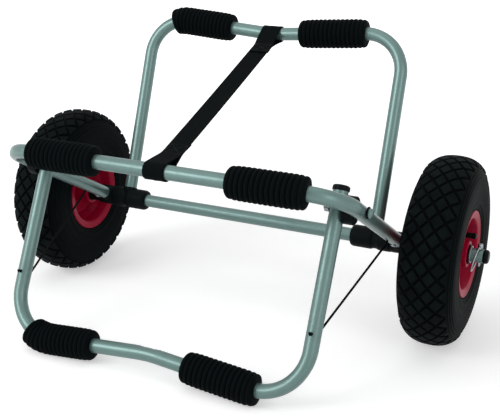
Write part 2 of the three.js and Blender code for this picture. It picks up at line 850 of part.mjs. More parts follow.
// A wheel about the x axis, with its valve on the +x side, which faces outward
function addWheel(group, side) {
  const crown = wheelDiameter / 2;
  const half = tyreWidth / 2;
  const seat = rimSeatRadius + seatGap;
  const flange = rimFlangeDiameter / 2;
  const lip = rimHalf;
  const beadOuter = lip - rimFlangeWall - seatGap;
  const beadWidth = tyreTreadWall;
  const shoulder = tyreShoulderShare * (crown - flange);
  const outer = tyreOutline(half, crown, shoulder, [
    [lip - seatGap, flange + rimFlangeWall],
    [beadOuter, flange - seatGap],
    [beadOuter, seat],
    [beadOuter - beadWidth, seat],
  ], tyreOuterShares).slice(1);
  const inner = tyreOutline(
    half - tyreSideWall, crown - tyreTreadWall, shoulder - tyreSideWall,
    [[beadOuter - beadWidth, flange - rimWall]],
    tyreInnerShares,
  );
  const facetStretch = 1 / Math.cos(Math.PI / treadBlocksAround);
  const carcass = [...outer, ...mirrored(inner).reverse(), ...otherSide(outer)]
    .map(([x, r]) => [x, r * facetStretch]);
  part(group, `tyre_${side}`, tyreSkin(half, crown, shoulder, carcass), finishes.tyre);

  part(group, `inner_tube_${side}`, innerTubeSkin(half, crown, flange), finishes.butyl);

  part(group, `rim_${side}`, rimShape(lip, flange), finishes.rim);
  addBushes(group, side);
  addValve(group, side, lip, flange);
}

// The air-filled tube inside the tyre: a hollow ring, open where the valve enters
function innerTubeSkin(half, crown, flange) {
  const floor = flange + rimWall;
  const roof = (crown - tyreTreadWall) * Math.cos(Math.PI / innerTubeFacets);
  const wide = half - 2 * tyreSideWall;
  const line = (wall) => [
    [wide * tyreCrownShare, roof - wall],
    [wide - wall, (roof + floor) / 2 + tyreTreadWall - wall],
    [wide - wall, (roof + floor) / 2 - tyreTreadWall + wall],
    [wide / 2, floor + wall],
  ];
  return shaped(
    [turnedRing(mirrored(line(0)), innerTubeFacets)],
    [turnedRing(mirrored(line(innerTubeWall)), innerTubeFacets), valveBore(floor)],
  );
}

const valveDirection = new THREE.Vector3(0, Math.cos(valveAngle), Math.sin(valveAngle));

// The radial hole that the valve's base passes through, in rim and inner tube
function valveBore(reach) {
  const start = valveDirection.clone().multiplyScalar(valveCircleRadius);
  start.x = valveBaseOffset;
  return drill(
    start, valveDirection, reach - valveCircleRadius + 2 * overrun, 2 * (valveBaseRadius + seatGap),
  );
}

// Dished rim: bead seats and well outside, web and hub barrel inside
function rimShape(lip, flange) {
  const seat = rimSeatRadius;
  const well = rimWellRadius;
  const barrel = bushRadius + hubBarrelWall;
  const web = rimWebWall / 2;
  const bushSeat = bushRadius + seatGap;
  const bushStop = hubBarrelLength / 2 - bushDepth - seatGap;
  const wellHalf = lip / 2;
  const outside = [
    [wellHalf - rimWall, well],
    [wellHalf, seat],
    [lip - rimFlangeWall, seat],
    [lip - rimFlangeWall, flange - rimWall],
    [lip - rimFlangeWall / 2, flange],
    [lip, flange - rimWall / 2],
    [lip - rimFlangeWall, seat - rimWall],
    [wellHalf, well - rimWall],
    [web, well - 4 * rimWall],
    [web, barrel],
    [hubBarrelLength / 2, barrel],
    [hubBarrelLength / 2, bushSeat],
    [bushStop, bushSeat],
    [bushStop, axleRadius + rimWall / 2],
  ];
  const inward = outside.slice().reverse().map(([x, r]) => [-x, r]);
  const skin = turnedRing([...outside, ...inward], rimFacets);
  return shaped([skin], [valveBore(rimFlangeDiameter / 2)]);
}

function addBushes(group, side) {
  const bore = boreFor(axleRadius, runningGap, fittingFacets);
  const face = hubBarrelLength / 2 + seatGap;
  for (const [place, way] of [['inner', -1], ['outer', 1]]) {
    const bush = turnedRing([
      [face - bushDepth, bore],
      [face - bushDepth, bushRadius],
      [face, bushRadius],
      [face, bushRadius + bushFlangeHeight],
      [face - seatGap + bushFlangeWall, bushRadius + bushFlangeHeight],
      [face - seatGap + bushFlangeWall, bore],
    ], fittingFacets);
    const name = `hub_bush_${place}_${side}`;
    part(group, name, bush, finishes.nylon).rotation.z = way < 0 ? Math.PI : 0;
  }
}

// Bent valve: its base stands in the rim's well, its stem runs outward beside the hub
function addValve(group, side, lip, flange) {
  const elbow = valveDirection.clone().multiplyScalar(valveCircleRadius);
  elbow.x = valveBaseOffset;
  const base = valveDirection.clone().multiplyScalar(flange + rimWall);
  base.x = valveBaseOffset;
  const tip = elbow.clone();
  tip.x = lip - valveTipInset;
  const thin = routeThrough([base, elbow, tip], [{ radius: valveElbowRadius, steps: 4 }]);
  const stem = sectionAlong(thin, valveBaseRadius, 0, cordSides);
  const collarStart = valveBaseOffset + valveElbowRadius + rimWall;
  const collar = rod(collarStart, tip.x, valveRadius, smallFacets)
    .translate(0, elbow.y, elbow.z);
  part(group, `valve_stem_${side}`, shaped([stem, collar]), finishes.butyl);
  const capStart = tip.x + seatGap;
  const cap = turned([
    [capStart, 0],
    [capStart, valveCapRadius],
    [capStart + valveCapLength / 2, valveCapRadius],
    [capStart + valveTipInset - 2 * seatGap, valveCapRadius / 2],
    [capStart + valveTipInset - 2 * seatGap, 0],
  ], smallFacets).translate(0, elbow.y, elbow.z);
  part(group, `valve_cap_${side}`, cap, finishes.nylon);
}

// Linch pin through the axle's end, in a group whose origin is on the axle
const linchHeadBase = axleRadius + seatGap;
const linchHinge = linchHeadBase + linchHeadHeight / 2;

function addLinchPin(group, side) {
  const pin = turned([
    [-axleRadius - linchPinTipLength, 0],
    [-axleRadius - linchPinTipLength, linchPinDiameter / 4],
    [-axleRadius - linchPinTipLength / 2, linchPinDiameter / 2],
    [linchHeadBase, linchPinDiameter / 2],
    [linchHeadBase, linchHeadDiameter / 2],
    [linchHeadBase + linchHeadHeight, linchHeadDiameter / 2],
    [linchHeadBase + linchHeadHeight, 0],
  ], smallFacets).rotateY(-rightAngle);
  const hole = drill(
    new THREE.Vector3(0, -linchHeadDiameter, linchHinge), back,
    2 * linchHeadDiameter, linchHoleDiameter,
  );
  part(group, `linch_pin_${side}`, shaped([pin], [hole]), finishes.steel);

  const ring = new THREE.TorusGeometry(linchRingRadius, linchWireDiameter / 2, 6, fittingFacets)
    .rotateY(rightAngle).translate(0, 0, -linchRingRadius).rotateY(linchRingTilt)
    .translate(0, 0, linchHinge);
  part(group, `linch_ring_${side}`, ring, finishes.steel);
}

// Webbing strap, sewn to a loop round each crown: drawn in the y-z plane at x = 0
function addStrap(group, rearCrown, frontCrown) {
  const along = frontCrown.clone().sub(rearCrown);
  const length = along.length();
  const inner = tubeRadius + strapSlack;
  const outer = inner + strapLayer;
  const spread = Math.acos(outer / strapSeamStart);
  const outline = new THREE.Shape();
  outline.absarc(0, 0, outer, spread, 2 * Math.PI - spread);
  outline.lineTo(strapSeamStart, -strapLayer);
  outline.lineTo(length - strapSeamStart, -strapLayer);
  outline.absarc(length, 0, outer, spread - Math.PI, Math.PI - spread);
  outline.lineTo(length - strapSeamStart, strapLayer);
  outline.lineTo(strapSeamStart, strapLayer);
  const holeTip = strapSeamStart - 2 * strapLayer;
  const holeSpread = Math.acos(inner / holeTip);
  for (const [centre, facing] of [[0, 0], [length, Math.PI]]) {
    const hole = new THREE.Path();
    hole.absarc(centre, 0, inner, facing + holeSpread, facing + 2 * Math.PI - holeSpread);
    hole.lineTo(centre + Math.cos(facing) * holeTip, 0);
    outline.holes.push(hole);
  }
  const band = new THREE.ExtrudeGeometry(outline, {
    depth: strapWidth, bevelEnabled: false, curveSegments: strapTurns,
  });
  band.translate(0, 0, -strapWidth / 2);
  const basis = new THREE.Matrix4().makeBasis(
    along.clone().normalize(),
    outward.clone().cross(along).normalize(),
    outward,
  );
  band.applyMatrix4(basis).translate(rearCrown.x, rearCrown.y, rearCrown.z);
  part(group, 'opening_strap', band, finishes.webbing);
}

// Stay cord: knotted inside the front frame's side tube, straight to the stand's leg,
// through it and knotted on its front
function addStayCord(group, side, frontPlace, standPlace) {
  const down = back.clone().negate().transformDirection(frontPlace.matrix);
  const rear = back.clone().transformDirection(standPlace.matrix);
  const start = frontPlace.at;
  const end = standPlace.at;
  const lead = tubeRadius + cordLead;
  const route = routeThrough([
    start.clone().addScaledVector(down, tubeBore / 3),
    start.clone().addScaledVector(down, lead),
    end.clone().addScaledVector(rear, lead),
    end.clone().addScaledVector(rear, -tubeRadius - knotDiameter / 2),
  ], [{ radius: cordTurnRadius, steps: 2 }, { radius: cordTurnRadius, steps: 2 }]);
  const cord = sectionAlong(route, cordDiameter / 2, 0, cordSides);
  const knots = [
    start.clone().addScaledVector(down, tubeBore - knotDiameter / 2 - 2 * seatGap),
    end.clone().addScaledVector(rear, -tubeRadius - knotDiameter / 2 - seatGap),
  ].map((place) => new THREE.IcosahedronGeometry(knotDiameter / 2, 0)
    .translate(place.x, place.y, place.z));
  part(group, `stay_cord_${side}`, shaped([cord, ...knots]), finishes.cord);
}

// The whole cart, first about the axle's middle at the floor
const cart = new THREE.Group();

const axleGroup = new THREE.Group();
axleGroup.position.z = axleHeight;
addAxle(axleGroup);
addAxleRings(axleGroup);
cart.add(axleGroup);

const frontGroup = new THREE.Group();
frontGroup.rotation.x = rightAngle - frontFrameAngle;
addFrontFrame(frontGroup);
axleGroup.add(frontGroup);

const pivotGroup = new THREE.Group();
pivotGroup.position.z = pivotReach;
addPivots(pivotGroup);
frontGroup.add(pivotGroup);

const rearGroup = new THREE.Group();
rearGroup.rotation.x = rightAngle - rearFrameAngle;
addRearFrame(rearGroup);
axleGroup.add(rearGroup);

const standGroup = new THREE.Group();
standGroup.position.set(0, -pivotReach * Math.cos(frontFrameAngle), pivotHeight);
standGroup.rotation.x = -standLean;
addStand(standGroup);
cart.add(standGroup);

for (const [side, sign] of sides) {
  const wheelGroup = new THREE.Group();
  wheelGroup.position.set(sign * wheelOffset, 0, 0);
  wheelGroup.scale.x = sign;
  addWheel(wheelGroup, side);
  axleGroup.add(wheelGroup);

  const pinGroup = new THREE.Group();
  pinGroup.position.set(sign * linchPinX, 0, 0);
  pinGroup.scale.x = sign;
  addLinchPin(pinGroup, side);
  axleGroup.add(pinGroup);
}

cart.updateMatrixWorld(true);
const crownRise = crownBend * (1 / Math.cos(Math.atan(rearFrameDip / rearHalf)) - 1);
const rearCrown = new THREE.Vector3(0, 0, rearFrameLength - rearFrameDip + crownRise)
  .applyMatrix4(rearGroup.matrixWorld);
const frontCrown = new THREE.Vector3(0, 0, frontFrameLength).applyMatrix4(frontGroup.matrixWorld);
addStrap(cart, rearCrown, frontCrown);

for (const [side, sign] of sides) {
  addStayCord(
    cart, side,
    { at: cordOnFrame(sign).applyMatrix4(frontGroup.matrixWorld), matrix: frontGroup.matrixWorld },
    { at: cordOnStand(sign).applyMatrix4(standGroup.matrixWorld), matrix: standGroup.matrixWorld },
  );
}

// The origin is the middle of the cart's footprint, on the floor
const reach = new THREE.Box3().setFromObject(cart, true);
const middle = reach.getCenter(new THREE.Vector3());
cart.position.set(0, -middle.y, -reach.min.z);

const kayakCart = new THREE.Group();
kayakCart.add(cart);

export default kayakCart;
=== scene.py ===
# %% [markdown]
# # A folding kayak cart
# Two bent aluminium frames open to a V on one axle tube, and a strap holds them apart.
# A third bent tube swings down at the front as a stand, and two cords stop it. The two
# air-filled wheels run on the ends of the axle tube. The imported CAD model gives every
# place and size, so each piece here is drawn onto it with a finer shape and a finish.

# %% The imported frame
import json
import math

import bmesh
import bpy
from mathutils import Matrix, Vector


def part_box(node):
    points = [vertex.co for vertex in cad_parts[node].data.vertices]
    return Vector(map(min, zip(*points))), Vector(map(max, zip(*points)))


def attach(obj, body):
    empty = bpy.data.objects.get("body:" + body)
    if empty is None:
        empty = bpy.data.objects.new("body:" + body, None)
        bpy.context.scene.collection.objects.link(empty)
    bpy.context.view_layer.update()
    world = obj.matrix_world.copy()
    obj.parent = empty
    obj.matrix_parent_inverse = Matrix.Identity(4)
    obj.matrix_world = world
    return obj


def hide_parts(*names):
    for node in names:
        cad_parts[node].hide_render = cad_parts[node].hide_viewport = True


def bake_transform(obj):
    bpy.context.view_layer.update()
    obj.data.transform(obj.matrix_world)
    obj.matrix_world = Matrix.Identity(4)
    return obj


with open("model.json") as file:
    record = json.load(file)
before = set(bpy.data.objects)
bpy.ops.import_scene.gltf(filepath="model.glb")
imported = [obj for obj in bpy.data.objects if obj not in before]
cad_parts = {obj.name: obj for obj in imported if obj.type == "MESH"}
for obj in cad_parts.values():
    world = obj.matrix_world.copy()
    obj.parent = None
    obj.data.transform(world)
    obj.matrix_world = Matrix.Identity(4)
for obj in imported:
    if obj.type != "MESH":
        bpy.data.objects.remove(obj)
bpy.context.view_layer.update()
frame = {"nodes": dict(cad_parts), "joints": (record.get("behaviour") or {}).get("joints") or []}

scene = bpy.context.scene
mm = 0.001
sides = (("left", -1), ("right", 1))
x_axis, y_axis, z_axis = (Vector(row) for row in Matrix.Identity(3))
hinge = {joint["name"]: Vector(joint["pos_m"]) for joint in frame["joints"] if joint.get("pos_m")}
axle, pivot = hinge["rear_fold"], hinge["stand_fold"]


def linked(name, data):
    """A new object of the scene with this data."""
    made = bpy.data.objects.new(name, data)
    scene.collection.objects.link(made)
    return made


print("nodes", len(frame["nodes"]), "axle at", tuple(axle), "stand pivot at", tuple(pivot))

# %% [markdown]
# ## The camera
# A camera can be placed by eye, or solved from points whose real places are known. Here
# the ends of the axle, the bends and the wheels were matched with the photograph, which
# gave its place, its heading, its tilt and a slight roll. The lens is long, so the wheels
# hardly narrow with distance.

# %% Camera
camera_place = Vector((0.56814, -1.08606, 0.57625))
heading, tilt, roll = (math.radians(angle) for angle in (25.51, -18.36, 0.64))
ahead = Vector((-math.sin(heading) * math.cos(tilt), math.cos(heading) * math.cos(tilt), math.sin(tilt)))
level = Vector((math.cos(heading), math.sin(heading), 0))
rise = level.cross(ahead)
across = math.cos(roll) * level + math.sin(roll) * rise
upward = math.cos(roll) * rise - math.sin(roll) * level

camera_data = bpy.data.cameras.new("camera")
camera_data.lens = 66.2
camera_data.clip_start, camera_data.clip_end = 0.05, 50
camera = linked("camera", camera_data)
columns = [(*axis, 0) for axis in (across, upward, -ahead)] + [(*camera_place, 1)]
camera.matrix_world = Matrix(columns).transposed()
scene.camera = camera
scene.view_settings.view_transform = "Standard"
print("camera", tuple(round(x, 3) for x in camera_place), "lens", camera_data.lens)

# %% [markdown]
# ## Building node trees by name
# Materials and Geometry Nodes are both node trees. `put` adds a node, sets its properties
# and fills its inputs: an input that gets another node's output is linked, and one that
# gets a number or a colour is set. A `Wire` is an output that plain arithmetic can use, so
# `wire * 2 + 1` adds the two Math nodes that it needs.


# %% A helper for nodes
def fill(socket, value):
    if isinstance(value, Wire):
        value = value.socket
    if isinstance(value, bpy.types.NodeSocket):
        socket.id_data.links.new(value, socket)
    else:
        socket.default_value = value


def put(tree, kind, settings=None, **inputs):
    made = tree.nodes.new(kind)
    for name, value in (settings or {}).items():
        setattr(made, name, value)
    for name, value in inputs.items():
        numbered = name[0] == "i" and name[1:].isdigit()
        fill(made.inputs[int(name[1:]) if numbered else name.replace("_", " ")], value)
    return made


class Wire:
    def __init__(self, socket):
        self.socket, self.tree = socket, socket.id_data

    def math(self, operation, *others):
        made = put(self.tree, "ShaderNodeMath", {"operation": operation})
        for socket, value in zip(made.inputs, (self, *others)):
            fill(socket, value)
        return Wire(made.outputs[0])

    def clamped(self):
        self.socket.node.use_clamp = True
        return self

    def __add__(self, other):
        return self.math("ADD", other)

    def __sub__(self, other):
        return self.math("SUBTRACT", other)

    def __rsub__(self, other):
        return wired(self.tree, "ShaderNodeMath", {"operation": "SUBTRACT"}, i0=other, i1=self)

    def __mul__(self, other):
        return self.math("MULTIPLY", other)

    def __pow__(self, other):
        return self.math("POWER", other)

    def __abs__(self):
        return self.math("ABSOLUTE")


def wires(sockets):
    return {socket.name: Wire(socket) for socket in sockets}


def wired(tree, kind, settings=None, output=0, **inputs):
    """The wire from one output of a new node."""
    return Wire(put(tree, kind, settings, **inputs).outputs[output])


def split(vector):
    return [Wire(socket) for socket in put(vector.tree, "ShaderNodeSeparateXYZ", Vector=vector).outputs]


def mixed(factor, first, second):
    return wired(factor.tree, "ShaderNodeMix", {"data_type": "RGBA"}, 2, i0=factor, i6=first, i7=second)


def ranged(value, low, high):
    """0 at low and 1 at high."""
    return wired(value.tree, "ShaderNodeMapRange", i0=value, i1=low, i2=high)


def humps(value):
    """A row of round humps, one for each whole step of the value."""
    return abs((value * math.pi).math("SINE"))


def grey(level, tint=(1, 1, 1)):
    return (level * tint[0], level * tint[1], level * tint[2], 1)


print("node helpers ready")

# %% [markdown]
# ## Floor, background and light
# The photograph is a cut-out on white. A pale floor catches the soft shadow, and the world
# shows white to the camera and in reflections, while a plainer grey sky lights the object.
# Large soft lamps above and at the left give the tubes their long pale highlight.


# %% Floor and world
def looked_at(tree):
    """1 where the camera, a mirror or a glass looks, and 0 for light that only bounces."""
    rays = wires(put(tree, "ShaderNodeLightPath").outputs)
    seen = rays["Is Camera Ray"].math("MAXIMUM", rays["Is Glossy Ray"])
    return seen.math("MAXIMUM", rays["Is Transmission Ray"])


floor_mesh = bpy.data.meshes.new("floor")
reach = 30
square = [(x * reach, y * reach, 0) for x, y in ((-1, -1), (1, -1), (1, 1), (-1, 1))]
floor_mesh.from_pydata(square, [], [(0, 1, 2, 3)])
floor = linked("floor", floor_mesh)
paper = bpy.data.materials.new("pale_floor")
paper.use_nodes = True
tree = paper.node_tree
sheet = tree.nodes["Principled BSDF"]
for label, value in (
        ("Base Color", (0.86, 0.87, 0.87, 1)), ("Roughness", 0.9), ("Specular IOR Level", 0.1)):
    sheet.inputs[label].default_value = value
spot = put(tree, "ShaderNodeTexCoord").outputs["Object"]
distance = wired(tree, "ShaderNodeVectorMath", {"operation": "LENGTH"}, "Value", i0=spot)
away = ranged(distance, 0.5, 2.2)
lift = put(tree, "ShaderNodeEmission", Color=(1, 1, 1, 1), Strength=looked_at(tree) * (away * 0.5 + 0.4))
both = put(tree, "ShaderNodeAddShader", i0=sheet.outputs[0], i1=lift.outputs[0])
fill(tree.nodes["Material Output"].inputs["Surface"], both.outputs[0])
floor_mesh.materials.append(paper)

world = bpy.data.worlds.new("studio")
scene.world = world
world.use_nodes = True
sky = world.node_tree.nodes["Background"].inputs
fill(sky["Strength"], looked_at(world.node_tree) * 0.5 + 0.5)
sky["Color"].default_value = (1, 1, 1, 1)


# %% Lamps
def softbox(name, place, aim, width, power):
    lamp = bpy.data.lights.new(name, "AREA")
    lamp.shape, lamp.size, lamp.size_y, lamp.energy = "RECTANGLE", width, width, power
    stand = linked(name, lamp)
    stand.location = place
    stand.rotation_euler = (Vector(aim) - Vector(place)).to_track_quat("-Z", "Y").to_euler()


softbox("overhead", (-0.3, -0.2, 2.4), aim=(0, 0, 0.1), width=2.2, power=9)
softbox("front_left", (-1.5, -2.1, 1.5), aim=(0, 0, 0.15), width=1.4, power=35)
softbox("right_fill", (2.2, -1.3, 1.2), aim=(0, 0, 0.15), width=1.2, power=10)
print("lamps", [lamp.name for lamp in bpy.data.lights])

# %% [markdown]
# ## Effects that several finishes share
# A shader node group is a small machine with named inputs and outputs. *Grain* mixes a
# coarse and a fine noise for moulded or cast surfaces, *handling* makes the faint blotches
# of use, *drawn lines* stretches noise along a tube as its drawing die does, and *weave*
# crosses warp and weft threads. Each puts out masks and heights, and every material uses
# its own values.


# %% Shader groups
def ends_of(group):
    """A group, the wires that it is given and the sockets that it gives to."""
    given, gives = group.nodes.new("NodeGroupInput").outputs, group.nodes.new("NodeGroupOutput").inputs
    return group, wires(given), gives


def shader_group(name, outputs, **numbers):
    """A group that takes a vector and named numbers, and puts out named numbers."""
    group = bpy.data.node_groups.new(name, "ShaderNodeTree")
    group.interface.new_socket("Vector", in_out="INPUT", socket_type="NodeSocketVector")
    for label, value in numbers.items():
        socket = group.interface.new_socket(label, in_out="INPUT", socket_type="NodeSocketFloat")
        socket.default_value = value
    for label in outputs:
        group.interface.new_socket(label, in_out="OUTPUT", socket_type="NodeSocketFloat")
    return ends_of(group)


def noise(vector, scale, detail=3.0, roughness=0.55):
    return wired(vector.tree, "ShaderNodeTexNoise", None, "Fac", Vector=vector, Scale=scale, Detail=detail,
                 Roughness=roughness)


grain, given, gives = shader_group("grain", ["Height", "Tone"], Scale=900.0, Fine=3.0)
coarse = noise(given["Vector"], given["Scale"])
fine = noise(given["Vector"], given["Scale"] * given["Fine"])
fill(gives["Height"], fine * 0.45 + coarse * 0.55)
fill(gives["Tone"], ranged(coarse, 0.3, 0.7))

handling, given, gives = shader_group("handling", ["Mask"], Scale=9.0, Cover=0.5)
blotch = noise(given["Vector"], given["Scale"], 5.0, 0.65)
speck = noise(given["Vector"], given["Scale"] * 14.0, 4.0, 0.7)
bare = (1.0 - given["Cover"]) * 0.5 + 0.2
fill(gives["Mask"], ((speck * 0.4 + blotch * 0.6 - bare) * 4.0).clamped())

drawn, given, gives = shader_group("drawn_lines", ["Height", "Tone"], Across=2600.0, Along=14.0)
x, y, _ = split(given["Vector"])
stretched = wired(drawn, "ShaderNodeCombineXYZ", X=x * given["Across"], Y=y * given["Along"])
streak = noise(stretched, 1.0, 4.0, 0.6)
fill(gives["Height"], streak)
fill(gives["Tone"], ranged(streak, 0.35, 0.68))

# The weave's Tone is low between the threads, where the webbing is painted darker as painted shade.
weave, given, gives = shader_group("weave", ["Height", "Tone"], Across=900.0, Along=700.0)
x, y, _ = split(given["Vector"])
warp, weft = x * given["Across"], y * given["Along"]
thread = humps(warp) ** 0.5 * humps(warp.math("FLOOR") * 0.5 + weft) ** 0.6
fill(gives["Height"], noise(given["Vector"], 9000.0, 2.0) * 0.15 + thread)
fill(gives["Tone"], ranged(thread, 0.0, 0.9))
print("groups", [group.name for group in bpy.data.node_groups])

# %% [markdown]
# ## Finishes
# Every finish is one Principled shader fed by those groups: colour that varies a little,
# roughness that follows wear, and a bump. The tubes are anodised aluminium, so they are
# metal with a fine drawn grain. Plastic and rubber are not metal, and their roughness tells
# them apart: satin nylon, dull tyre rubber and duller foam.


# %% Starting a finish
def grouped(group, vector, **inputs):
    return wires(put(vector.tree, "ShaderNodeGroup", {"node_tree": group}, Vector=vector, **inputs).outputs)


def finish(name, colour, roughness, metallic=0.0, **plain):
    """A new material, its shader's inputs, and the object's own and its UV coordinates."""
    material = bpy.data.materials.new(name)
    material.use_nodes = True
    into = material.node_tree.nodes["Principled BSDF"].inputs
    for label, value in dict(Base_Color=colour, Roughness=roughness, Metallic=metallic, **plain).items():
        into[label.replace("_", " ")].default_value = value
    places = wires(put(material.node_tree, "ShaderNodeTexCoord").outputs)
    return material, into, places["Object"], places["UV"]


def bumped(into, height, distance, strength, under=None):
    bump = put(height.tree, "ShaderNodeBump", Height=height, Distance=distance, Strength=strength)
    if under is not None:
        fill(bump.inputs["Normal"], under)
    fill(into["Normal"], bump.outputs[0])
    return bump.outputs[0]


# %% Anodised tube
tube_tint = (0.6, 1.0, 0.94)
anodised, into, body, band = finish(
    "anodised_tube", grey(0.21, tube_tint), 0.34, 0.55, Coat_Weight=0.2, Coat_Roughness=0.2)
lines = grouped(drawn, band)
rub = grouped(handling, body, Scale=7.0, Cover=0.42)["Mask"]
colour = mixed(lines["Tone"], grey(0.18, tube_tint), grey(0.235, tube_tint))
fill(into["Base Color"], mixed(rub * 0.35, colour, grey(0.13, tube_tint)))
fill(into["Roughness"], rub * 0.14 + (lines["Tone"] * 0.08 + 0.33))
under = bumped(into, lines["Height"], 0.00004, 0.5)
bumped(into, grouped(grain, body, Scale=1400.0)["Height"], 0.00003, 0.5, under)


# %% Grained and handled finishes
def worn_finish(name, base, shades, scuff, grains, patches, rough, bump, **plain):
    """Grain between two shades, and patches of handling with a shade and a roughness of their own."""
    material, into, body, _ = finish(name, *base, **plain)
    skin = grouped(grain, body, **grains)
    rub = grouped(handling, body, **patches)["Mask"]
    fill(into["Base Color"], mixed(rub * scuff[1], mixed(skin["Tone"], *shades), scuff[0]))
    fill(into["Roughness"], rub * rough[1] + rough[0])
    bumped(into, skin["Height"], *bump)
    return material, into, body, rub


def black(name, low, high, rough, grain_scale, depth, dust=0.2, tint=(0.55, 1.0, 1.15), shine=0.1):
    return worn_finish(
        name, base=(grey(low), rough), shades=(grey(low, tint), grey(high, tint)),
        scuff=(grey(0.016, (0.85, 1.0, 1.0)), dust), grains=dict(Scale=grain_scale),
        patches=dict(Scale=16.0, Cover=0.45), rough=(rough, 0.12), bump=(depth, 0.7),
        Specular_IOR_Level=shine)


zinc = worn_finish(
    "zinc_steel", base=(grey(0.5), 0.3, 1.0),
    shades=(grey(0.28, (0.9, 1.0, 1.08)), grey(0.42, (0.92, 1.0, 1.06))), scuff=(grey(0.2), 0.5),
    grains=dict(Scale=1800.0), patches=dict(Scale=60.0, Cover=0.5), rough=(0.34, 0.2),
    bump=(0.00005, 0.6))[0]
nylon = black("moulded_nylon", low=0.0025, high=0.005, rough=0.46, grain_scale=1500.0, depth=0.00006,
              dust=0.12, shine=0.05)[0]
cap_nylon = black("cap_nylon", low=0.0025, high=0.005, rough=0.34, grain_scale=1900.0, depth=0.00004,
                  dust=0.1, shine=0.07)[0]
foam = black("foam_rubber", low=0.002, high=0.0045, rough=0.72, grain_scale=2600.0, depth=0.00022,
             dust=0.06, shine=0.03)[0]
butyl = black("butyl_rubber", low=0.003, high=0.006, rough=0.5, grain_scale=1200.0, depth=0.00008)[0]
crimson, into, _, rub = worn_finish(
    "crimson_rim", base=((0.3, 0.002, 0.025, 1), 0.36),
    shades=((0.29, 0.0012, 0.022, 1), (0.38, 0.002, 0.032, 1)), scuff=((0.17, 0.008, 0.02, 1), 0.25),
    grains=dict(Scale=260.0, Fine=5.0), patches=dict(Scale=24.0, Cover=0.4), rough=(0.34, 0.2),
    bump=(0.0001, 0.5), Coat_Roughness=0.15, Specular_IOR_Level=0.06)
fill(into["Coat Weight"], rub * -0.03 + 0.04)

# %% [markdown]
# ## Tyre rubber
# New rubber is nearly black with a green-grey cast where light grazes it. The tops of the
# blocks are painted a little paler, partly as scuffing and partly as a painted highlight, and
# the grooves between them are painted darkest as painted shade. The mesh says which points are
# raised, and the distance from the axle keeps both to the tread.

# %% Tyre rubber
tyre_rubber, into, body, _ = black(
    "tyre_rubber", low=0.0016, high=0.0042, rough=0.62, grain_scale=900.0, depth=0.00012,
    tint=(0.5, 1.0, 1.1), shine=0.025)
_, y, z = split(wired(body.tree, "ShaderNodeVectorMath", {"operation": "SUBTRACT"}, i0=body, i1=axle))
tread = ranged((y * y + z * z).math("SQRT"), 113 * mm, 116 * mm)
raised = wired(body.tree, "ShaderNodeAttribute", {"attribute_name": "raised"}, "Fac")
plain = Wire(into["Base Color"].links[0].from_socket)
scuff_and_highlight = grouped(grain, body, Scale=46.0, Fine=9.0)["Tone"]
# Block tops painted paler: partly scuffing, partly a painted highlight on the blocks.
scuffed_highlit_tops = mixed(scuff_and_highlight * 0.8, plain, grey(0.009, (0.62, 1.0, 1.12)))
# Grooves painted near-black: painted shade in the recesses between the blocks.
tread_scuff_and_painted_light = mixed((1.0 - raised).clamped(), scuffed_highlit_tops, grey(0.0018, (0.7, 1.0, 1.05)))
fill(into["Base Color"], mixed(tread, plain, tread_scuff_and_painted_light))

# %% [markdown]
# ## Woven finishes
# Webbing and cord need a pattern that follows the band, not the room, so they read a UV map
# whose two numbers are metres across and metres along. The weave group then makes threads
# of a real size, and the same threads raise the bump. The colour is also darker in the low
# places between the threads and between the braid's strands, which is painted shade.

# %% Webbing, thread and braid
webbing, into, body, band = finish("polyester_webbing", grey(0.005), 0.72, Specular_IOR_Level=0.03)
threads = grouped(weave, band, Across=800.0, Along=420.0)
rub = grouped(handling, body, Scale=30.0, Cover=0.4)["Mask"]
# Darker where the threads sink: painted shade between the threads.
colour = mixed(threads["Tone"], grey(0.0015, (0.7, 1, 1.1)), grey(0.0055, (0.6, 1.0, 1.15)))
fill(into["Base Color"], mixed(rub * 0.25, colour, grey(0.012, (0.8, 1.0, 1.05))))
fill(into["Roughness"], threads["Tone"] * -0.12 + 0.82)
bumped(into, threads["Height"], 0.00035, 0.9)

stitching, into, body, _ = finish("sewing_thread", grey(0.01), 0.6, Specular_IOR_Level=0.25)
twist = wired(body.tree, "ShaderNodeTexWave", {"bands_direction": "DIAGONAL"}, "Fac", Vector=body,
              Scale=900.0, Distortion=1.0)
fill(into["Base Color"], mixed(twist, grey(0.006), grey(0.02)))
fill(into["Roughness"], twist * -0.15 + 0.7)
bumped(into, twist, 0.0001, 0.8)

braid, into, _, band = finish("braided_cord", grey(0.004), 0.66, Specular_IOR_Level=0.04)
x, y, _ = split(band)
turn, pitch = x * (8 / (math.pi * 3 * mm)), y * 560.0
strand = (humps(turn + pitch) * humps(turn - pitch)) ** 0.45
# Darker between the strands: painted shade in the braid's hollows.
fill(into["Base Color"], mixed(strand, grey(0.0015), grey(0.006, (0.7, 1.0, 1.1))))
fill(into["Roughness"], strand * -0.15 + 0.78)
bumped(into, strand, 0.0003, 0.9)
print("finishes", [material.name for material in bpy.data.materials if material.use_nodes])

# %% [markdown]
# ## Skins from rings
# Tubes, turned fittings and cords are all the same thing to a mesh: a row of closed rings
# with faces between them. `skin` joins such rings, closes them end to end or with a flat
# cap, and writes the UV map in metres: around the ring, and along the row.


# %% Rings to a mesh
def new_piece(name, mesh, material, body, slot, *replaces):
    piece = linked(name, mesh)
    if material is not None:
        mesh.materials.clear()
        mesh.materials.append(material)
    if body is not None:
        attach(piece, body)
    if replaces:
        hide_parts(*replaces)
    return piece


def smoothed(mesh, sharp=35):
    mesh.shade_smooth()
    mesh.set_sharp_from_angle(angle=math.radians(sharp))
    return mesh


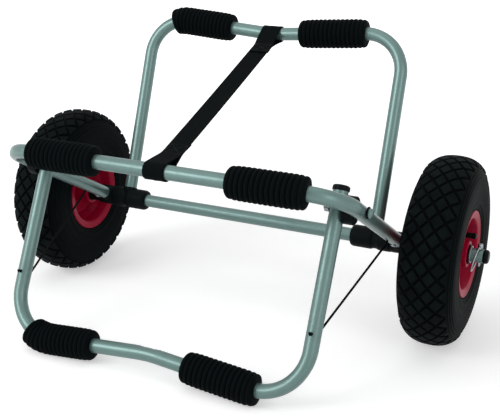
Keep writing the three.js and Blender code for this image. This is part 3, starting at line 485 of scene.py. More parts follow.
def skin(name, rings, wrap=False, sharp=35):
    count = len(rings[0])
    spans = rings + rings[:1] if wrap else rings
    steps, along = [0.0], 0.0
    for here, there in zip(spans, spans[1:]):
        along += sum((b - a).length for a, b in zip(here, there)) / count
        steps.append(along)
    girth = max(sum((a - b).length for a, b in zip(ring, ring[1:] + ring[:1])) for ring in rings)
    points = [point for ring in rings for point in ring]
    faces, uvs = [], []
    for i in range(len(spans) - 1):
        a, b = i * count, (i + 1) % len(rings) * count
        for j in range(count):
            k = (j + 1) % count
            faces.append((a + j, a + k, b + k, b + j))
            u, v = girth * j / count, girth * (j + 1) / count
            uvs += [(u, steps[i]), (v, steps[i]), (v, steps[i + 1]), (u, steps[i + 1])]
    if not wrap:
        for ring, order in ((0, range(count)[::-1]), (len(rings) - 1, range(count))):
            faces.append(tuple(ring * count + j for j in order))
            uvs += [(girth * j / count, steps[ring]) for j in order]
    mesh = bpy.data.meshes.new(name)
    mesh.from_pydata(points, [], faces)
    layer = mesh.uv_layers.new(name="UVMap")
    layer.data.foreach_set("uv", [number for pair in uvs for number in pair])
    work = bmesh.new()
    work.from_mesh(mesh)
    bmesh.ops.remove_doubles(work, verts=work.verts, dist=1e-7)
    bmesh.ops.recalc_face_normals(work, faces=work.faces)
    work.to_mesh(mesh)
    work.free()
    return smoothed(mesh, sharp)


def joined(name, meshes):
    work = bmesh.new()
    for mesh in meshes:
        work.from_mesh(mesh)
    whole = bpy.data.meshes.new(name)
    work.to_mesh(whole)
    work.free()
    return smoothed(whole)


def angles(count):
    return [2 * math.pi * j / count for j in range(count)]


def circle(middle, radius, side, other, count):
    return [middle + radius * (math.cos(a) * side + math.sin(a) * other) for a in angles(count)]


def placed(rings, matrix=Matrix()):
    """Rings in millimetres, scaled to metres and set in place."""
    return [[matrix @ (mm * point) for point in ring] for ring in rings]


# %% Turned pieces
def filleted(profile, radius, steps=3, closed=False):
    rounded = []
    total = len(profile)
    for i, corner in enumerate(profile):
        here = Vector(corner)
        if not closed and i in (0, total - 1) or here.y < 1e-9:
            rounded.append(here)
            continue
        before, after = Vector(profile[i - 1]) - here, Vector(profile[(i + 1) % total]) - here
        reach = min(radius, before.length * 0.45, after.length * 0.45)
        start, end = here + before.normalized() * reach, here + after.normalized() * reach
        for k in range(steps + 1):
            t = k / steps
            rounded.append(start.lerp(here, t).lerp(here.lerp(end, t), t))
    return rounded


def turned(name, profile, matrix, count=48, closed=False, fillet=0.0, sharp=35, shaped=None):
    """A profile of (along, radius) round the x axis. `shaped` can change a radius round the turn."""
    line = filleted(profile, fillet, closed=closed) if fillet else profile
    rings = []
    for along, radius in line:
        radius = max(radius, 1e-4)
        sizes = [shaped(along, radius, j / count) if shaped else radius for j in range(count)]
        rings.append([Vector((along, r * math.cos(a), r * math.sin(a)))
                      for r, a in zip(sizes, angles(count))])
    return skin(name, placed(rings, matrix), wrap=closed, sharp=sharp)


def ring_line(start, end, bore, radius):
    """The profile of a plain ring or, with no bore, of a bar."""
    return [(start, bore), (start, radius), (end, radius), (end, bore)]


def half_turn(way):
    return Matrix.Rotation(math.pi, 4, "Z") if way < 0 else Matrix.Identity(4)


def on_axle(x=0.0, way=1):
    return Matrix.Translation(axle + Vector((x * mm, 0, 0))) @ half_turn(way)


def moved(plane, x=0.0, y=0.0, z=0.0):
    """The plane with its origin moved along its own axes, by millimetres."""
    return plane @ Matrix.Translation((x * mm, y * mm, z * mm))


print("mesh helpers ready")

# %% [markdown]
# ## The three bent tubes
# Each frame is one aluminium tube of 19 mm, bent cold on a tube bender. A curve object with
# a bevel would give a round section everywhere, but a real bend is pulled slightly flat on
# its outer side. So the tubes are swept in code: the route is rounded at its corners, and
# the outer half of the section is drawn in by a tenth where the route turns.

# %% Routes
tube_radius, tube_bore = 9.5, 8.0
rear_half, front_half, stand_half = 203.8, 241.2, 213.4
rear_long, front_long = 291.0, 280.7
rear_dip, stand_dip, middle_bend = 15.0, 16.7, 200.0
rear_lean, front_lean = 109.3, 28.5
socket_radius, eye_radius, neck = 15.5, 15.0, 1.6
grip_crest = 21.0
floor_share = 0.61  # how far out on the stand's bar its grips meet the floor
stand_foot = Vector((0.0, -96.86, -(pivot.z / mm - grip_crest)))
stand_long = stand_foot.length + stand_dip * (1 - floor_share)


def tilted(place, turn):
    return Matrix.Translation(place) @ Matrix.Rotation(turn, 4, "X")


rear_plane, front_plane = (tilted(axle, math.radians(90 - lean)) for lean in (rear_lean, front_lean))
stand_plane = tilted((0, pivot.y, pivot.z), -math.atan2(-stand_foot.y, -stand_foot.z))


def rounded_route(corners, bends, bend_steps=18, straight_step=18.0):
    """(point, direction, inward, turning) along corners that are rounded by their bends."""
    route, start = [], corners[0]
    for i in range(1, len(corners)):
        end, final = corners[i], i == len(corners) - 1
        if not final:
            before = (corners[i] - corners[i - 1]).normalized()
            after = (corners[i + 1] - corners[i]).normalized()
            angle, bend = before.angle(after), bends[i - 1]
            setback = bend * math.tan(angle / 2)
            end = corners[i] - before * setback
        way = (end - start).normalized()
        runs = max(1, round((end - start).length / straight_step))
        route += [(start.lerp(end, k / runs), way, None, 0.0) for k in range(runs + final)]
        if not final:
            inward = (after - before * after.dot(before)).normalized()
            centre = end + inward * bend
            for k in range(bend_steps):
                turn = angle * k / bend_steps
                point = centre - inward * bend * math.cos(turn) + before * bend * math.sin(turn)
                way = before * math.cos(turn) + inward * math.sin(turn)
                turning = min(1.0, 4 * k / bend_steps, 4 * (1 - k / bend_steps))
                route.append((point, way, (centre - point).normalized(), turning))
            start = corners[i] + after * setback
    return route


def frame_route(half, foot, crown, dip, bend):
    middle = crown + math.copysign(1, foot - crown) * dip
    corners, bends = [(-half, crown), (0, middle), (half, crown)], [bend, middle_bend, bend]
    if dip == 0:
        del corners[1], bends[1]
    return rounded_route([Vector((x, 0, z)) for x, z in [(-half, foot), *corners, (half, foot)]], bends)


rear_route = frame_route(rear_half, socket_radius + neck, rear_long, rear_dip, 55.0)
front_route = frame_route(front_half, eye_radius + neck, front_long, 0.0, 50.0)
stand_route = frame_route(stand_half, 23.0, -stand_long, stand_dip, 60.0)
print("route points", len(rear_route), len(front_route), len(stand_route))
print("stand leg", round(stand_long, 2), "mm")


# %% Sweeping the tube
def tube_rings(route, radius, count=48, flat=0.1):
    """Rings with one steady outward side, drawn in where they face out of a bend."""
    rings = []
    for point, way, toward, turning in route:
        out = y_axis.cross(way).normalized()
        side = way.cross(out).normalized()
        sense = -1 if toward is not None and out.dot(toward) > 0 else 1
        pulls = [1 - flat * turning * max(0.0, sense * math.cos(a)) ** 2 for a in angles(count)]
        rings.append([point + radius * (math.cos(a) * pull * out + math.sin(a) * side)
                      for a, pull in zip(angles(count), pulls)])
    return rings


def bent_tube(name, route, plane):
    outer, inner = tube_rings(route, tube_radius), tube_rings(route, tube_bore)
    return skin(name, placed(outer + inner[::-1], plane), wrap=True)


# %% [markdown]
# The cords and bolts pass through drilled holes. A boolean modifier cuts them with plain
# round bars, and the evaluated mesh is kept, so nothing live is left on the tube.


# %% Drilling
def applied(name, piece):
    graph = bpy.context.evaluated_depsgraph_get()
    mesh = bpy.data.meshes.new_from_object(piece.evaluated_get(graph))
    mesh.name = name
    bpy.data.objects.remove(piece)
    return mesh


def drilled(name, mesh, holes):
    """The mesh with a hole for each (start, direction, length, diameter) in millimetres."""
    piece, bars = linked(name + "_blank", mesh), []
    for start, way, length, diameter in holes:
        turn = x_axis.rotation_difference(way).to_matrix().to_4x4()
        bar_line = ring_line(0, length, 0, diameter / 2)
        bars.append(turned("bar", bar_line, Matrix.Translation(mm * start) @ turn, 20))
    cutter = linked("cutter", joined("cutter", bars))
    cut = piece.modifiers.new("holes", "BOOLEAN")
    cut.operation, cut.solver, cut.object = "DIFFERENCE", "EXACT", cutter
    mesh = applied(name, piece)
    bpy.data.objects.remove(cutter)
    return smoothed(mesh)


def in_plane(plane, place, way):
    """A place and a direction of a frame's own plane, in row millimetres."""
    return plane @ (mm * Vector(place)) / mm, plane.to_3x3() @ Vector(way)


cord_hole, bolt_hole = 4.4, 6.8
pivot_reach = front_long - 69.2
cord_on_front, cord_on_stand = 69.0, -stand_long * 0.64
past = tube_radius + 4.0
through, one_wall = 2 * past, 2 * tube_radius
front_holes, stand_holes = [], []
for _, sign in sides:
    out, leg = sign * x_axis, sign * stand_half
    inner_front, inner_stand = sign * (front_half - past), sign * (stand_half - past)
    for holes, plane, place, way, length, wide in (
            (front_holes, front_plane, (sign * front_half, 0, cord_on_front), -y_axis, one_wall, cord_hole),
            (front_holes, front_plane, (inner_front, 0, pivot_reach), out, through, bolt_hole),
            (stand_holes, stand_plane, (leg, -past, cord_on_stand), y_axis, through, cord_hole),
            (stand_holes, stand_plane, (inner_stand, 0, 0), out, through, bolt_hole)):
        holes.append((*in_plane(plane, place, way), length, wide))

for bar, name, route, plane, holes, body, node in (
        ("front", "front_tube", front_route, front_plane, front_holes, "front_frame", "front_frame_tube"),
        ("rear", "rear_tube", rear_route, rear_plane, [], "rear_frame", "rear_frame_tube"),
        ("stand", "stand_tube_skin", stand_route, stand_plane, stand_holes, "stand", "stand_tube")):
    mesh = bent_tube(name, route, plane)
    mesh = drilled(name, mesh, holes) if holes else mesh
    new_piece(f"{bar}_bent_tube", mesh, anodised, body, "tube", node)
    print(name, "faces", len(mesh.polygons))

# %% [markdown]
# ## The axle tube
# A straight tube of the same stock runs through both wheels. Its cut ends are deburred, so
# the profile is turned with small rounded corners, and the hole for each linch pin is
# drilled as before.

# %% Axle
axle_bore, linch_setback, linch_bore = 7.9, 5.5, 5.6
axle_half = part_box("axle_tube")[1].x / mm
linch_x = axle_half - linch_setback


def linch_hole(sign, reach):
    """The upright hole of a linch pin, as far up and down as it reaches from the axle's middle."""
    return axle / mm + Vector((sign * linch_x, 0, -reach)), z_axis, 2 * reach, linch_bore


axle_line = ring_line(-axle_half, axle_half, axle_bore, tube_radius)
axle_mesh = turned("axle", axle_line, on_axle(), closed=True, fillet=0.5)
axle_mesh = drilled("axle_bar", axle_mesh, [linch_hole(sign, 13) for _, sign in sides])
new_piece("axle_bar", axle_mesh, anodised, "front_frame", "tube", "axle_tube")
print("axle half length", round(axle_half, 2))

# %% [markdown]
# ## Foam grips
# Six ribbed sleeves of foam rubber pad the bars where the hull rests. One could model a rib
# and repeat it, but foam ribs are one wavy skin. So a Geometry Nodes tree takes the bar's
# own line, sweeps a circle along it, and lets the radius rise and fall with the distance:
# rounded crests, narrow valleys, a slight barrel over the length and a rolled end. A second
# sweep makes the bore, and merging joins the two at the ends.

# %% The grip tree
number, whole, direction, material_socket = (
    "NodeSocket" + kind for kind in ("Float", "Int", "Vector", "Material"))
weld = 0.02 * mm


def geometry_tree(name, **inputs):
    tree = bpy.data.node_groups.new(name, "GeometryNodeTree")
    for way in ("INPUT", "OUTPUT"):
        tree.interface.new_socket("Geometry", in_out=way, socket_type="NodeSocketGeometry")
    for label, kind in inputs.items():
        tree.interface.new_socket(label, in_out="INPUT", socket_type=kind)
    return ends_of(tree)


def put_out(gives, geometry, material):
    """The end of a tree: its geometry with a finish."""
    coated = wired(geometry.tree, "GeometryNodeSetMaterial", Geometry=geometry, Material=material)
    fill(gives["Geometry"], coated)


def run_tree(name, piece, tree, values):
    modifier = piece.modifiers.new(name, "NODES")
    modifier.node_group = tree
    for item in tree.interface.items_tree:
        if item.in_out == "INPUT" and item.name in values:
            modifier[item.identifier] = values[item.name]
    return applied(name, piece)


grip_tree, given, gives = geometry_tree(
    "ribbed_sleeve", Ribs=whole, Crest=number, Valley=number, Barrel=number, End=number, Bore=number,
    Finish=material_socket)
line, valley, end, bore = (given[label] for label in ("Geometry", "Valley", "End", "Bore"))
share = wired(grip_tree, "GeometryNodeSplineParameter", output="Factor")
outward = abs(share - 0.5) * 2.0
crest = given["Crest"] - given["Barrel"] * outward ** 8.0
ribbed = (crest - valley) * humps(share * given["Ribs"]) ** 0.62 + valley
roll = 0.05
into_roll = ((outward - (1 - roll)).clamped() * (1 / roll)).clamped()
sleeve = (ribbed - end) * (1.0 - into_roll ** 2.0).clamped() ** 0.5 + end
last = outward.math("GREATER_THAN", 0.9999)
hoop = wired(grip_tree, "GeometryNodeCurvePrimitiveCircle", Resolution=56, Radius=1.0)
outer, inner = (
    wired(grip_tree, "GeometryNodeCurveToMesh", Curve=line, Profile_Curve=hoop, Scale=radius)
    for radius in (sleeve + last * (bore - sleeve), bore))
both = put(grip_tree, "GeometryNodeJoinGeometry")
for surface in (outer, wired(grip_tree, "GeometryNodeFlipFaces", Mesh=inner)):
    fill(both.inputs[0], surface)
merged = wired(grip_tree, "GeometryNodeMergeByDistance", Geometry=both.outputs[0], Distance=weld)
real = wired(grip_tree, "GeometryNodeRealizeInstances", Geometry=merged)
put_out(gives, real, given["Finish"])


# %% Six grips
def length_of(line):
    return sum((b - a).length for a, b in zip(line, line[1:]))


def along_line(line, distance):
    for a, b in zip(line, line[1:]):
        step = (b - a).length
        if distance <= step:
            return a.lerp(b, distance / step)
        distance -= step
    return line[-1]


def curve_of(name, lines):
    """A curve object with one straight-sided spline for each row of points."""
    data = bpy.data.curves.new(name, "CURVE")
    data.dimensions = "3D"
    for line in lines:
        spline = data.splines.new("POLY")
        spline.points.add(len(line) - 1)
        for point, spot in zip(spline.points, line):
            point.co = (*spot, 1)
    return linked(name, data)


ribs, grip_length = 15, 100.0
grip_steps = ribs * 12
grip_values = dict(Ribs=ribs, Crest=grip_crest * mm, Valley=18.25 * mm, Barrel=2.2 * mm, End=16.5 * mm,
                   Bore=9.62 * mm, Finish=foam)
for bar, route, plane, body, centres in (
        ("rear", rear_route, rear_plane, "rear_frame", (-117.0, 96.0)),
        ("front", front_route, front_plane, "front_frame", (-140.0, 149.0)),
        ("stand", stand_route, stand_plane, "stand", (-132.0, 106.0))):
    line = [place[0] for place in route]
    for (side, _), centre in zip(sides, centres):
        name = f"{bar}_foam_grip_{side}"
        start = length_of(line) / 2 + centre - grip_length / 2
        spots = [along_line(line, start + grip_length * k / grip_steps) for k in range(grip_steps + 1)]
        bar_line = curve_of(name + "_line", placed([spots], plane))
        mesh = run_tree(name, bar_line, grip_tree, grip_values)
        for corner in mesh.vertices:
            corner.co.z = max(corner.co.z, 0.0)
        grip = new_piece(name, smoothed(mesh, 60), None, body, "grip", f"{bar}_grip_{side}")
print("faces of a grip", len(mesh.polygons))

# %% [markdown]
# ## Tyres
# A tyre for a cart like this is a wide balloon with a net of diamond blocks round its
# tread, a few fine ribs on each shoulder and smooth sides. A tyre mould is cut in equal
# pitches, and so is this one: the script draws one pitch, a row of blocks across the tread
# with the slice of carcass below it, and a Geometry Nodes tree turns it round the wheel.

# %% The tyre's outline
half_width, crown_radius, shoulder_height = 37.25, 127.6, 36.6
tread_around, edge_row, tread_depth = 33, 3, 2.4
tread_share, squareness = 0.8, 2.5
row_step = half_width * tread_share / edge_row
wheel_offset = 304.5


def on_tyre(x, lift_by=0.0):
    """A point of the round outline, [along the axle, radius], raised from the grooves."""
    reach_out = abs(x) / half_width
    inward = (1 - reach_out ** squareness) ** (1 / squareness)
    slope = squareness - 1
    facing = Vector((math.copysign(reach_out ** slope, x) / half_width, inward ** slope / shoulder_height))
    return Vector((x, crown_radius + shoulder_height * (inward - 1))) + facing.normalized() * lift_by


def vectors(line):
    return [Vector(point) for point in line]


def carcass_line():
    """From the tread's edge down the side, round the bead, and up inside to the middle."""
    tread_edge, side_steps, fine_above, fine_step, plain_step = 49.2, 16, 100, 0.7, 1.9
    turns = [tread_edge + (90 - tread_edge) * k / side_steps for k in range(1, side_steps + 1)]
    path = [on_tyre(half_width * math.sin(math.radians(turn)) ** (2 / squareness)) for turn in turns]
    path += vectors([(36.72, 86.0), (36.3, 79.0), (35.4, 71.5), (34.5, 66.0), (33.95, 62.9)])
    dense = []
    for a, b in zip(path, path[1:]):
        runs = max(1, round((b - a).length / (fine_step if a.y > fine_above else plain_step)))
        dense += [a.lerp(b, k / runs) for k in range(runs)]
    dense.append(path[-1])
    ribs_at = ((32.7, 113.0, 0.8, 0.8), (34.6, 109.0, 0.8, 0.8), (36.0, 104.5, 0.7, 0.8),
               (36.75, 84.0, 0.5, 1.6), (35.2, 70.0, 0.9, 1.8))  # each one's place, height and width
    raised = []
    for i, p in enumerate(dense):
        way = (dense[min(i + 1, len(dense) - 1)] - dense[max(i - 1, 0)]).normalized()
        lift_by = sum(high * math.exp(-(((p - Vector((x, r))).length / wide) ** 2))
                      for x, r, high, wide in ribs_at)
        raised.append(p + Vector((-way.y, way.x)) * lift_by)
    foot = [(33.2, 61.2), (31.0, 59.6), (31.0, 51.9), (24.2, 51.9)]
    inside = [(24.2, 57.0), (30.5, 63.0), (32.8, 78.0), (32.8, 91.0), (29.0, 108.0), (20.0, 118.5),
              (8.0, 121.2)]
    return raised + vectors(foot + inside)


# %% One pitch of the tyre
def block_height(share_out):
    """1 on a block's top, with a small broken edge, then a steep wall down to the groove."""
    if share_out < 0.75:
        return 1.0
    return 0.9 if share_out < 0.85 else 0.0


def tyre_pitch():
    cuts = (-1.0, -0.88, -0.76, -0.71, 0.0, 0.71, 0.76, 0.88, 1.0)
    last = len(cuts) - 1
    points, heights, faces, edges = [], [], [], {}

    def corner(place, spot, high=0.0):
        angle = 2 * math.pi * place / tread_around - math.pi / 2
        points.append(mm * Vector((spot.x, spot.y * math.cos(angle), spot.y * math.sin(angle))))
        heights.append(high)
        return len(points) - 1

    for row in range(-edge_row, edge_row + 1):
        middle, net = 0.5 * (row % 2), {}
        for i, a in enumerate(cuts):
            for j, b in enumerate(cuts):
                level = row + 0.5 * (a + b)
                if abs(level) > edge_row + 1e-6:
                    continue
                high = block_height(max(abs(a), abs(b)))
                spot = on_tyre(level * row_step, high * tread_depth)
                net[i, j] = corner(middle + 0.25 * (a - b), spot, high)
        for i in range(last):
            for j in range(last):
                round_cell = [(i, j), (i + 1, j), (i + 1, j + 1), (i, j + 1)]
                face = [net[cell] for cell in round_cell if cell in net]
                if len(face) > 2:
                    faces.append(face)
        if abs(row) == edge_row:
            edges[row] = [net[i, last - i] for i in range(last + 1)]

    coarse = (0, 3, 4, 5, 8)  # the cuts that go on below the tread
    line = carcass_line()
    loop = line + [Vector((-p.x, p.y)) for p in line[::-1]]
    rings = [[corner(0.5 + 0.5 * cut, spot) for cut in cuts] for spot in (loop[0], loop[-1])]
    for way, near in ((1, rings[0]), (-1, rings[1])):
        far = edges[way * edge_row]
        for j in range(last):
            faces.append([far[j], far[j + 1], near[j + 1], near[j]][::way])
    edges = {edge_row: rings[0], -edge_row: rings[1]}
    rings = [[corner(0.5 + 0.5 * cuts[i], spot) for i in coarse] for spot in loop[1:-1]]
    for here, there in zip(rings, rings[1:]):
        for j in range(len(coarse) - 1):
            faces.append((here[j], here[j + 1], there[j + 1], there[j]))
    for j, (first, end) in enumerate(zip(coarse, coarse[1:])):
        faces.append(edges[edge_row][first:end + 1] + [rings[0][j + 1], rings[0][j]])
        faces.append([rings[-1][j], rings[-1][j + 1]] + edges[-edge_row][first:end + 1][::-1])
    mesh = bpy.data.meshes.new("tyre_pitch")
    mesh.from_pydata(points, [], faces)
    mesh.attributes.new("raised", "FLOAT", "POINT").data.foreach_set("value", heights)
    return mesh


# %% The pitch tree
pitch_tree, given, gives = geometry_tree(
    "wheel_pitches", Pitches=whole, Centre=direction, Finish=material_socket)
hubs = wired(pitch_tree, "GeometryNodePoints", Count=given["Pitches"], Position=given["Centre"])
part_turn = wired(pitch_tree, "GeometryNodeInputIndex").math("DIVIDE", given["Pitches"])
spin = wired(pitch_tree, "ShaderNodeCombineXYZ", X=part_turn * (2 * math.pi))
about = wired(pitch_tree, "FunctionNodeEulerToRotation", Euler=spin)
stood = wired(pitch_tree, "GeometryNodeInstanceOnPoints", Points=hubs, Instance=given["Geometry"],
              Rotation=about)
real = wired(pitch_tree, "GeometryNodeRealizeInstances", Geometry=stood)
merged = wired(pitch_tree, "GeometryNodeMergeByDistance", Geometry=real, Distance=weld)
put_out(gives, merged, given["Finish"])

# %% Both tyres
for side, sign in sides:
    centre = tuple(on_axle(sign * wheel_offset).translation)
    mesh = run_tree("tyre", linked("pitch_" + side, tyre_pitch()), pitch_tree,
                    dict(Pitches=tread_around, Centre=centre, Finish=tyre_rubber))
    new_piece(f"treaded_tyre_{side}", smoothed(mesh, 32), None, f"wheel_{side}", "tyre", f"tyre_{side}")
print("tyre faces", len(mesh.polygons), "lowest", round(min(v.co.z for v in mesh.vertices) / mm, 3), "mm")

# %% [markdown]
# ## Rims, bushes and valves
# The rim is a dished wheel body with a rolled lip that holds the tyre's bead, a well in
# the middle and a hub barrel. It is turned from one closed profile with its corners
# rounded. Nylon bushes with a flange press into both ends of the barrel, and the bent
# valve passes through the rim beside the hub.


# %% Rims and bushes
def mirrored(line):
    return [(-x, r) for x, r in line]


rim_well = [(32.6, 60.0), (31.4, 58.4), (31.4, 51.5), (17.0, 51.5), (14.0, 48.5)]
rim_face = [(34.0, 58.9), (33.2, 56.2), (31.6, 48.9), (17.0, 45.4), (9.5, 40.6), (3.5, 37.6), (3.5, 18.0),
            (32.0, 18.0), (32.0, 12.9), (13.7, 12.9), (13.7, 11.0)]
rim_line = rim_well + mirrored(rim_well[::-1] + rim_face) + rim_face[::-1]
bush_line = [(14.4, 9.95), (14.4, 12.5), (32.3, 12.5), (32.3, 13.6), (33.6, 13.6), (33.6, 9.95)]
for side, sign in sides:
    body, hub = f"wheel_{side}", on_axle(sign * wheel_offset)
    rim = turned("rim", rim_line, hub, 96, closed=True, fillet=1.6, sharp=40)
    new_piece(f"dished_rim_{side}", rim, crimson, body, "rim", f"rim_{side}")
    for place, way in (("inner", -sign), ("outer", sign)):
        bush = turned("bush", bush_line, on_axle(sign * wheel_offset, way), closed=True, fillet=0.4)
        new_piece(f"flanged_bush_{place}_{side}", bush, nylon, body, "nylon", f"hub_bush_{place}_{side}")
print("rim faces", len(rim.polygons))


# %% Valves
def round_route(points, bend, bend_steps=8):
    return rounded_route(vectors(points), [bend] * (len(points) - 2), bend_steps, 2.0)


def cord_rings(route, radius, count):
    """Rings that keep one steady side along a route in space."""
    rings, side = [], None
    for point, way, *_ in route:
        side = way.orthogonal().normalized() if side is None else (side - way * side.dot(way)).normalized()
        rings.append(circle(point, radius, side, way.cross(side), count))
    return rings


valve_place, stem_foot, stem_bend, stem_radius = 37.0, 11.0, 5.5, 2.8
valve_cap_line = [(28.3, 0.1), (28.3, 3.9), (28.7, 4.3), (32.2, 4.3), (32.6, 3.9), (33.4, 2.6), (33.7, 1.8),
                  (33.7, 0.1)]
knurl_share, knurls, knurl_depth = {28.7: 1.0, 32.2: 1.0, 32.6: 0.4}, 16, 0.09


def knurled(along, radius, turn_share):
    groove = 0.5 - 0.5 * math.cos(knurls * 2 * math.pi * turn_share)
    return radius * (1 - knurl_share.get(along, 0) * knurl_depth * groove)


for side, sign in sides:
    low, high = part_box(f"valve_cap_{side}")
    spoke = (low + high) / 2 - axle
    spoke.x = 0
    spoke.normalize()
    hub = on_axle(sign * wheel_offset).translation / mm
    bend = round_route([hub + Vector((sign * along, 0, 0)) + spoke * radius for along, radius in (
        (stem_foot, 62.5), (stem_foot, valve_place), (27.6, valve_place))], stem_bend)
    stem = skin("stem", placed(cord_rings(bend, stem_radius, 20)))
    seat = Matrix.Translation(mm * (hub + spoke * valve_place)) @ half_turn(sign)
    collar = turned("collar", ring_line(19.5, 28.0, 2.0, 3.8), seat, 32, fillet=0.6)
    body, valve = f"wheel_{side}", joined("valve", [stem, collar])
    new_piece(f"bent_valve_{side}", valve, butyl, body, "butyl", f"valve_stem_{side}")
    cap = turned("valve_cap", valve_cap_line, seat, 96, shaped=knurled)
    new_piece(f"knurled_valve_cap_{side}", cap, cap_nylon, body, "nylon", f"valve_cap_{side}")
    frame["nodes"][f"inner_tube_{side}"].data.materials[0] = butyl
print("valves made")

# %% [markdown]
# ## Sockets and eyes
# Black glass-filled nylon mouldings join the frames to the axle. Each has a barrel round
# the axle and a short neck up into its frame tube. The barrels are turned, with a faint
# parting line at each side where the mould's halves met, and the neck stands into them.

# %% Moulded fittings
seat_gap, seam_high, outer_face = 0.3, 0.35, 10.6
x_up = Matrix.Rotation(-math.pi / 2, 4, "Y")


def seamed(along, radius, turn_share):
    """A parting line at both sides, on the outer face only."""
    return radius + (seam_high if radius > outer_face and turn_share in (0, 0.5) else 0.0)


def moulding(name, profile, way, plane, half, body_radius):
    """A barrel round the axle and the neck that stands from it into a frame tube."""
    barrel = turned("barrel", profile, on_axle(0, way), 72, closed=True, fillet=1.0, shaped=seamed)
    top, foot, root, neck_radius, peg_radius, peg_bore, peg_long = (
        body_radius + neck - seat_gap, 10.3, 11.6, tube_radius, 7.6, 5, 14)
    peg_line = [(foot, peg_bore), (foot, root), (body_radius - 0.4, root), (top - 0.4, neck_radius + 0.1),
                (top, neck_radius), (top, peg_radius), (top + peg_long, peg_radius),
                (top + peg_long, peg_bore)]
    peg = turned("peg", peg_line, moved(plane, way * half) @ x_up, fillet=0.5)
    return joined(name, [barrel, peg])


bore, eye_reach = 10.0, 12.0
inner_end, outer_end = rear_half - 33.8, front_half - eye_reach - seat_gap
socket_line = [
    (inner_end, bore), (inner_end, 11.6), (inner_end + 1.2, 14.2), (inner_end + 4.6, socket_radius),
    (rear_half - 3.2, socket_radius), (rear_half, 13.9), (rear_half + 5.0, 13.9),
    (rear_half + 8.0, socket_radius), (outer_end, socket_radius), (outer_end, bore)]
eye_line = ring_line(front_half - eye_reach, front_half + eye_reach, bore, eye_radius)
for side, sign in sides:
    socket = moulding("socket", socket_line, sign, rear_plane, rear_half, socket_radius)
    new_piece(f"turning_socket_{side}", socket, nylon, "rear_frame", "socket", f"rear_socket_{side}")
    eye = moulding("eye", eye_line, sign, front_plane, front_half, eye_radius)
    new_piece(f"frame_eye_{side}", eye, nylon, "front_frame", "socket", f"front_frame_eye_{side}")
print("socket faces", len(socket.polygons))

# %% [markdown]
# ## Spacers, washers and caps
# Small turned parts with their edges broken: the nylon spacer between eye and wheel, the
# steel washer outside the wheel, the domed caps of the axle and the stand, and the saddle
# that sets each stand leg beside its frame tube. The saddle is hollowed by the tube's round.

# %% Axle rings and caps
hub_half, ring_bore = 33.6, 9.9
eye_face, hub_face = front_half + eye_reach + seat_gap, wheel_offset - hub_half - seat_gap
spacer_line = ring_line(eye_face, hub_face, ring_bore, 12.5)
face, end, washer_thick = wheel_offset + hub_half + seat_gap, axle_half + seat_gap, 1.8
washer_line = ring_line(face, face + washer_thick, ring_bore, 11.7)
cap_line = [(end - 14.3, 0), (end - 14.3, 7.4), (end, 7.4), (end, 9.5), (end + 5.0, 9.5), (end + 7.0, 7.6),
            (end + 7.3, 5.0), (end + 7.3, 0)]
stand_cap_line = [(10.0, 0), (10.0, 7.6), (23.3, 7.6), (23.3, 9.8), (21.4, 9.8), (21.4, 10.75),
                  (26.6, 10.75), (28.2, 8.9), (28.5, 6.0), (28.5, 0)]
for side, sign in sides:
    flip = on_axle(0, sign)
    for name, label, line, fillet, material, slot, node in (
            ("spacer", "nylon_spacer", spacer_line, 0.5, nylon, "nylon", "wheel_spacer"),
            ("washer", "steel_washer", washer_line, 0.3, zinc, "steel", "axle_washer")):
        ring = turned(name, line, flip, closed=True, fillet=fillet)
        new_piece(f"{label}_{side}", ring, material, "front_frame", slot, f"{node}_{side}")
    cap = drilled("domed_cap", turned("cap", cap_line, flip, fillet=0.8), [linch_hole(sign, 9.5)])
    new_piece(f"domed_cap_{side}", cap, cap_nylon, "front_frame", "nylon", f"axle_cap_{side}")
    cap = turned("stand_cap", stand_cap_line, moved(stand_plane, sign * stand_half) @ x_up, fillet=0.9)
    new_piece(f"stand_end_cap_{side}", cap, cap_nylon, "stand", "nylon", f"stand_cap_{side}")

# %% Stand pivots
pivot_plane = moved(front_plane, z=pivot_reach)
inner_face, saddle_wide = stand_half + tube_radius + seat_gap, 13.4
saddle_line = ring_line(inner_face, inner_face + saddle_wide, 3.4, 17.5)
seat, nut_end = front_half + tube_radius + seat_gap, stand_half - tube_radius - seat_gap
bolt_end, head = nut_end - 7.5, seat + 2.1
bolt_line = [(bolt_end, 0), (bolt_end, 2.4), (bolt_end + 1, 3.0), (head, 3.0), (head, 6.0),
             (head + 1.6, 6.0), (head + 3.8, 4.9), (head + 5.0, 2.6), (head + 5.2, 0)]
bolt_washer_line = ring_line(seat, seat + washer_thick, 3.4, 7.5)
nut_line = ring_line(nut_end - 6, nut_end, 3.3, 5.75)
for side, sign in sides:
    flip = pivot_plane @ half_turn(sign)
    saddle = turned("saddle", saddle_line, flip, 64, closed=True, fillet=1.2)
    round_of_tube = (*in_plane(flip, (front_half, 0, -30), z_axis), 60, 2 * (tube_radius + 0.4))
    saddle = drilled("saddle_spacer", saddle, [round_of_tube])
    bolt = turned("bolt", bolt_line, flip, 40, fillet=0.5)
    washer = turned("washer", bolt_washer_line, flip, 40, closed=True, fillet=0.3)
    nut = turned("nut", nut_line, flip, 6, closed=True, fillet=0.5, sharp=25)
    for name, mesh, material, slot, node in (
            ("saddle_spacer", saddle, nylon, "socket", "pivot_spacer"),
            ("pivot_bolt_round", bolt, anodised, "steel", "pivot_bolt"),
            ("pivot_washer_round", washer, nylon, "nylon", "pivot_washer"),
            ("hexagon_nut", nut, zinc, "steel", "pivot_nut")):
        new_piece(f"{name}_{side}", mesh, material, "front_frame", slot, f"{node}_{side}")

# %% [markdown]
# ## Rivets and linch pins
# A blind rivet keeps each frame tube on its neck: a low dome with the small pit that its
# broken mandrel leaves. A linch pin drops through the axle's end, and its spring ring hangs
# round the axle so the pin cannot jump out. Pin and ring are separate, because the ring
# swings before the pin lifts.

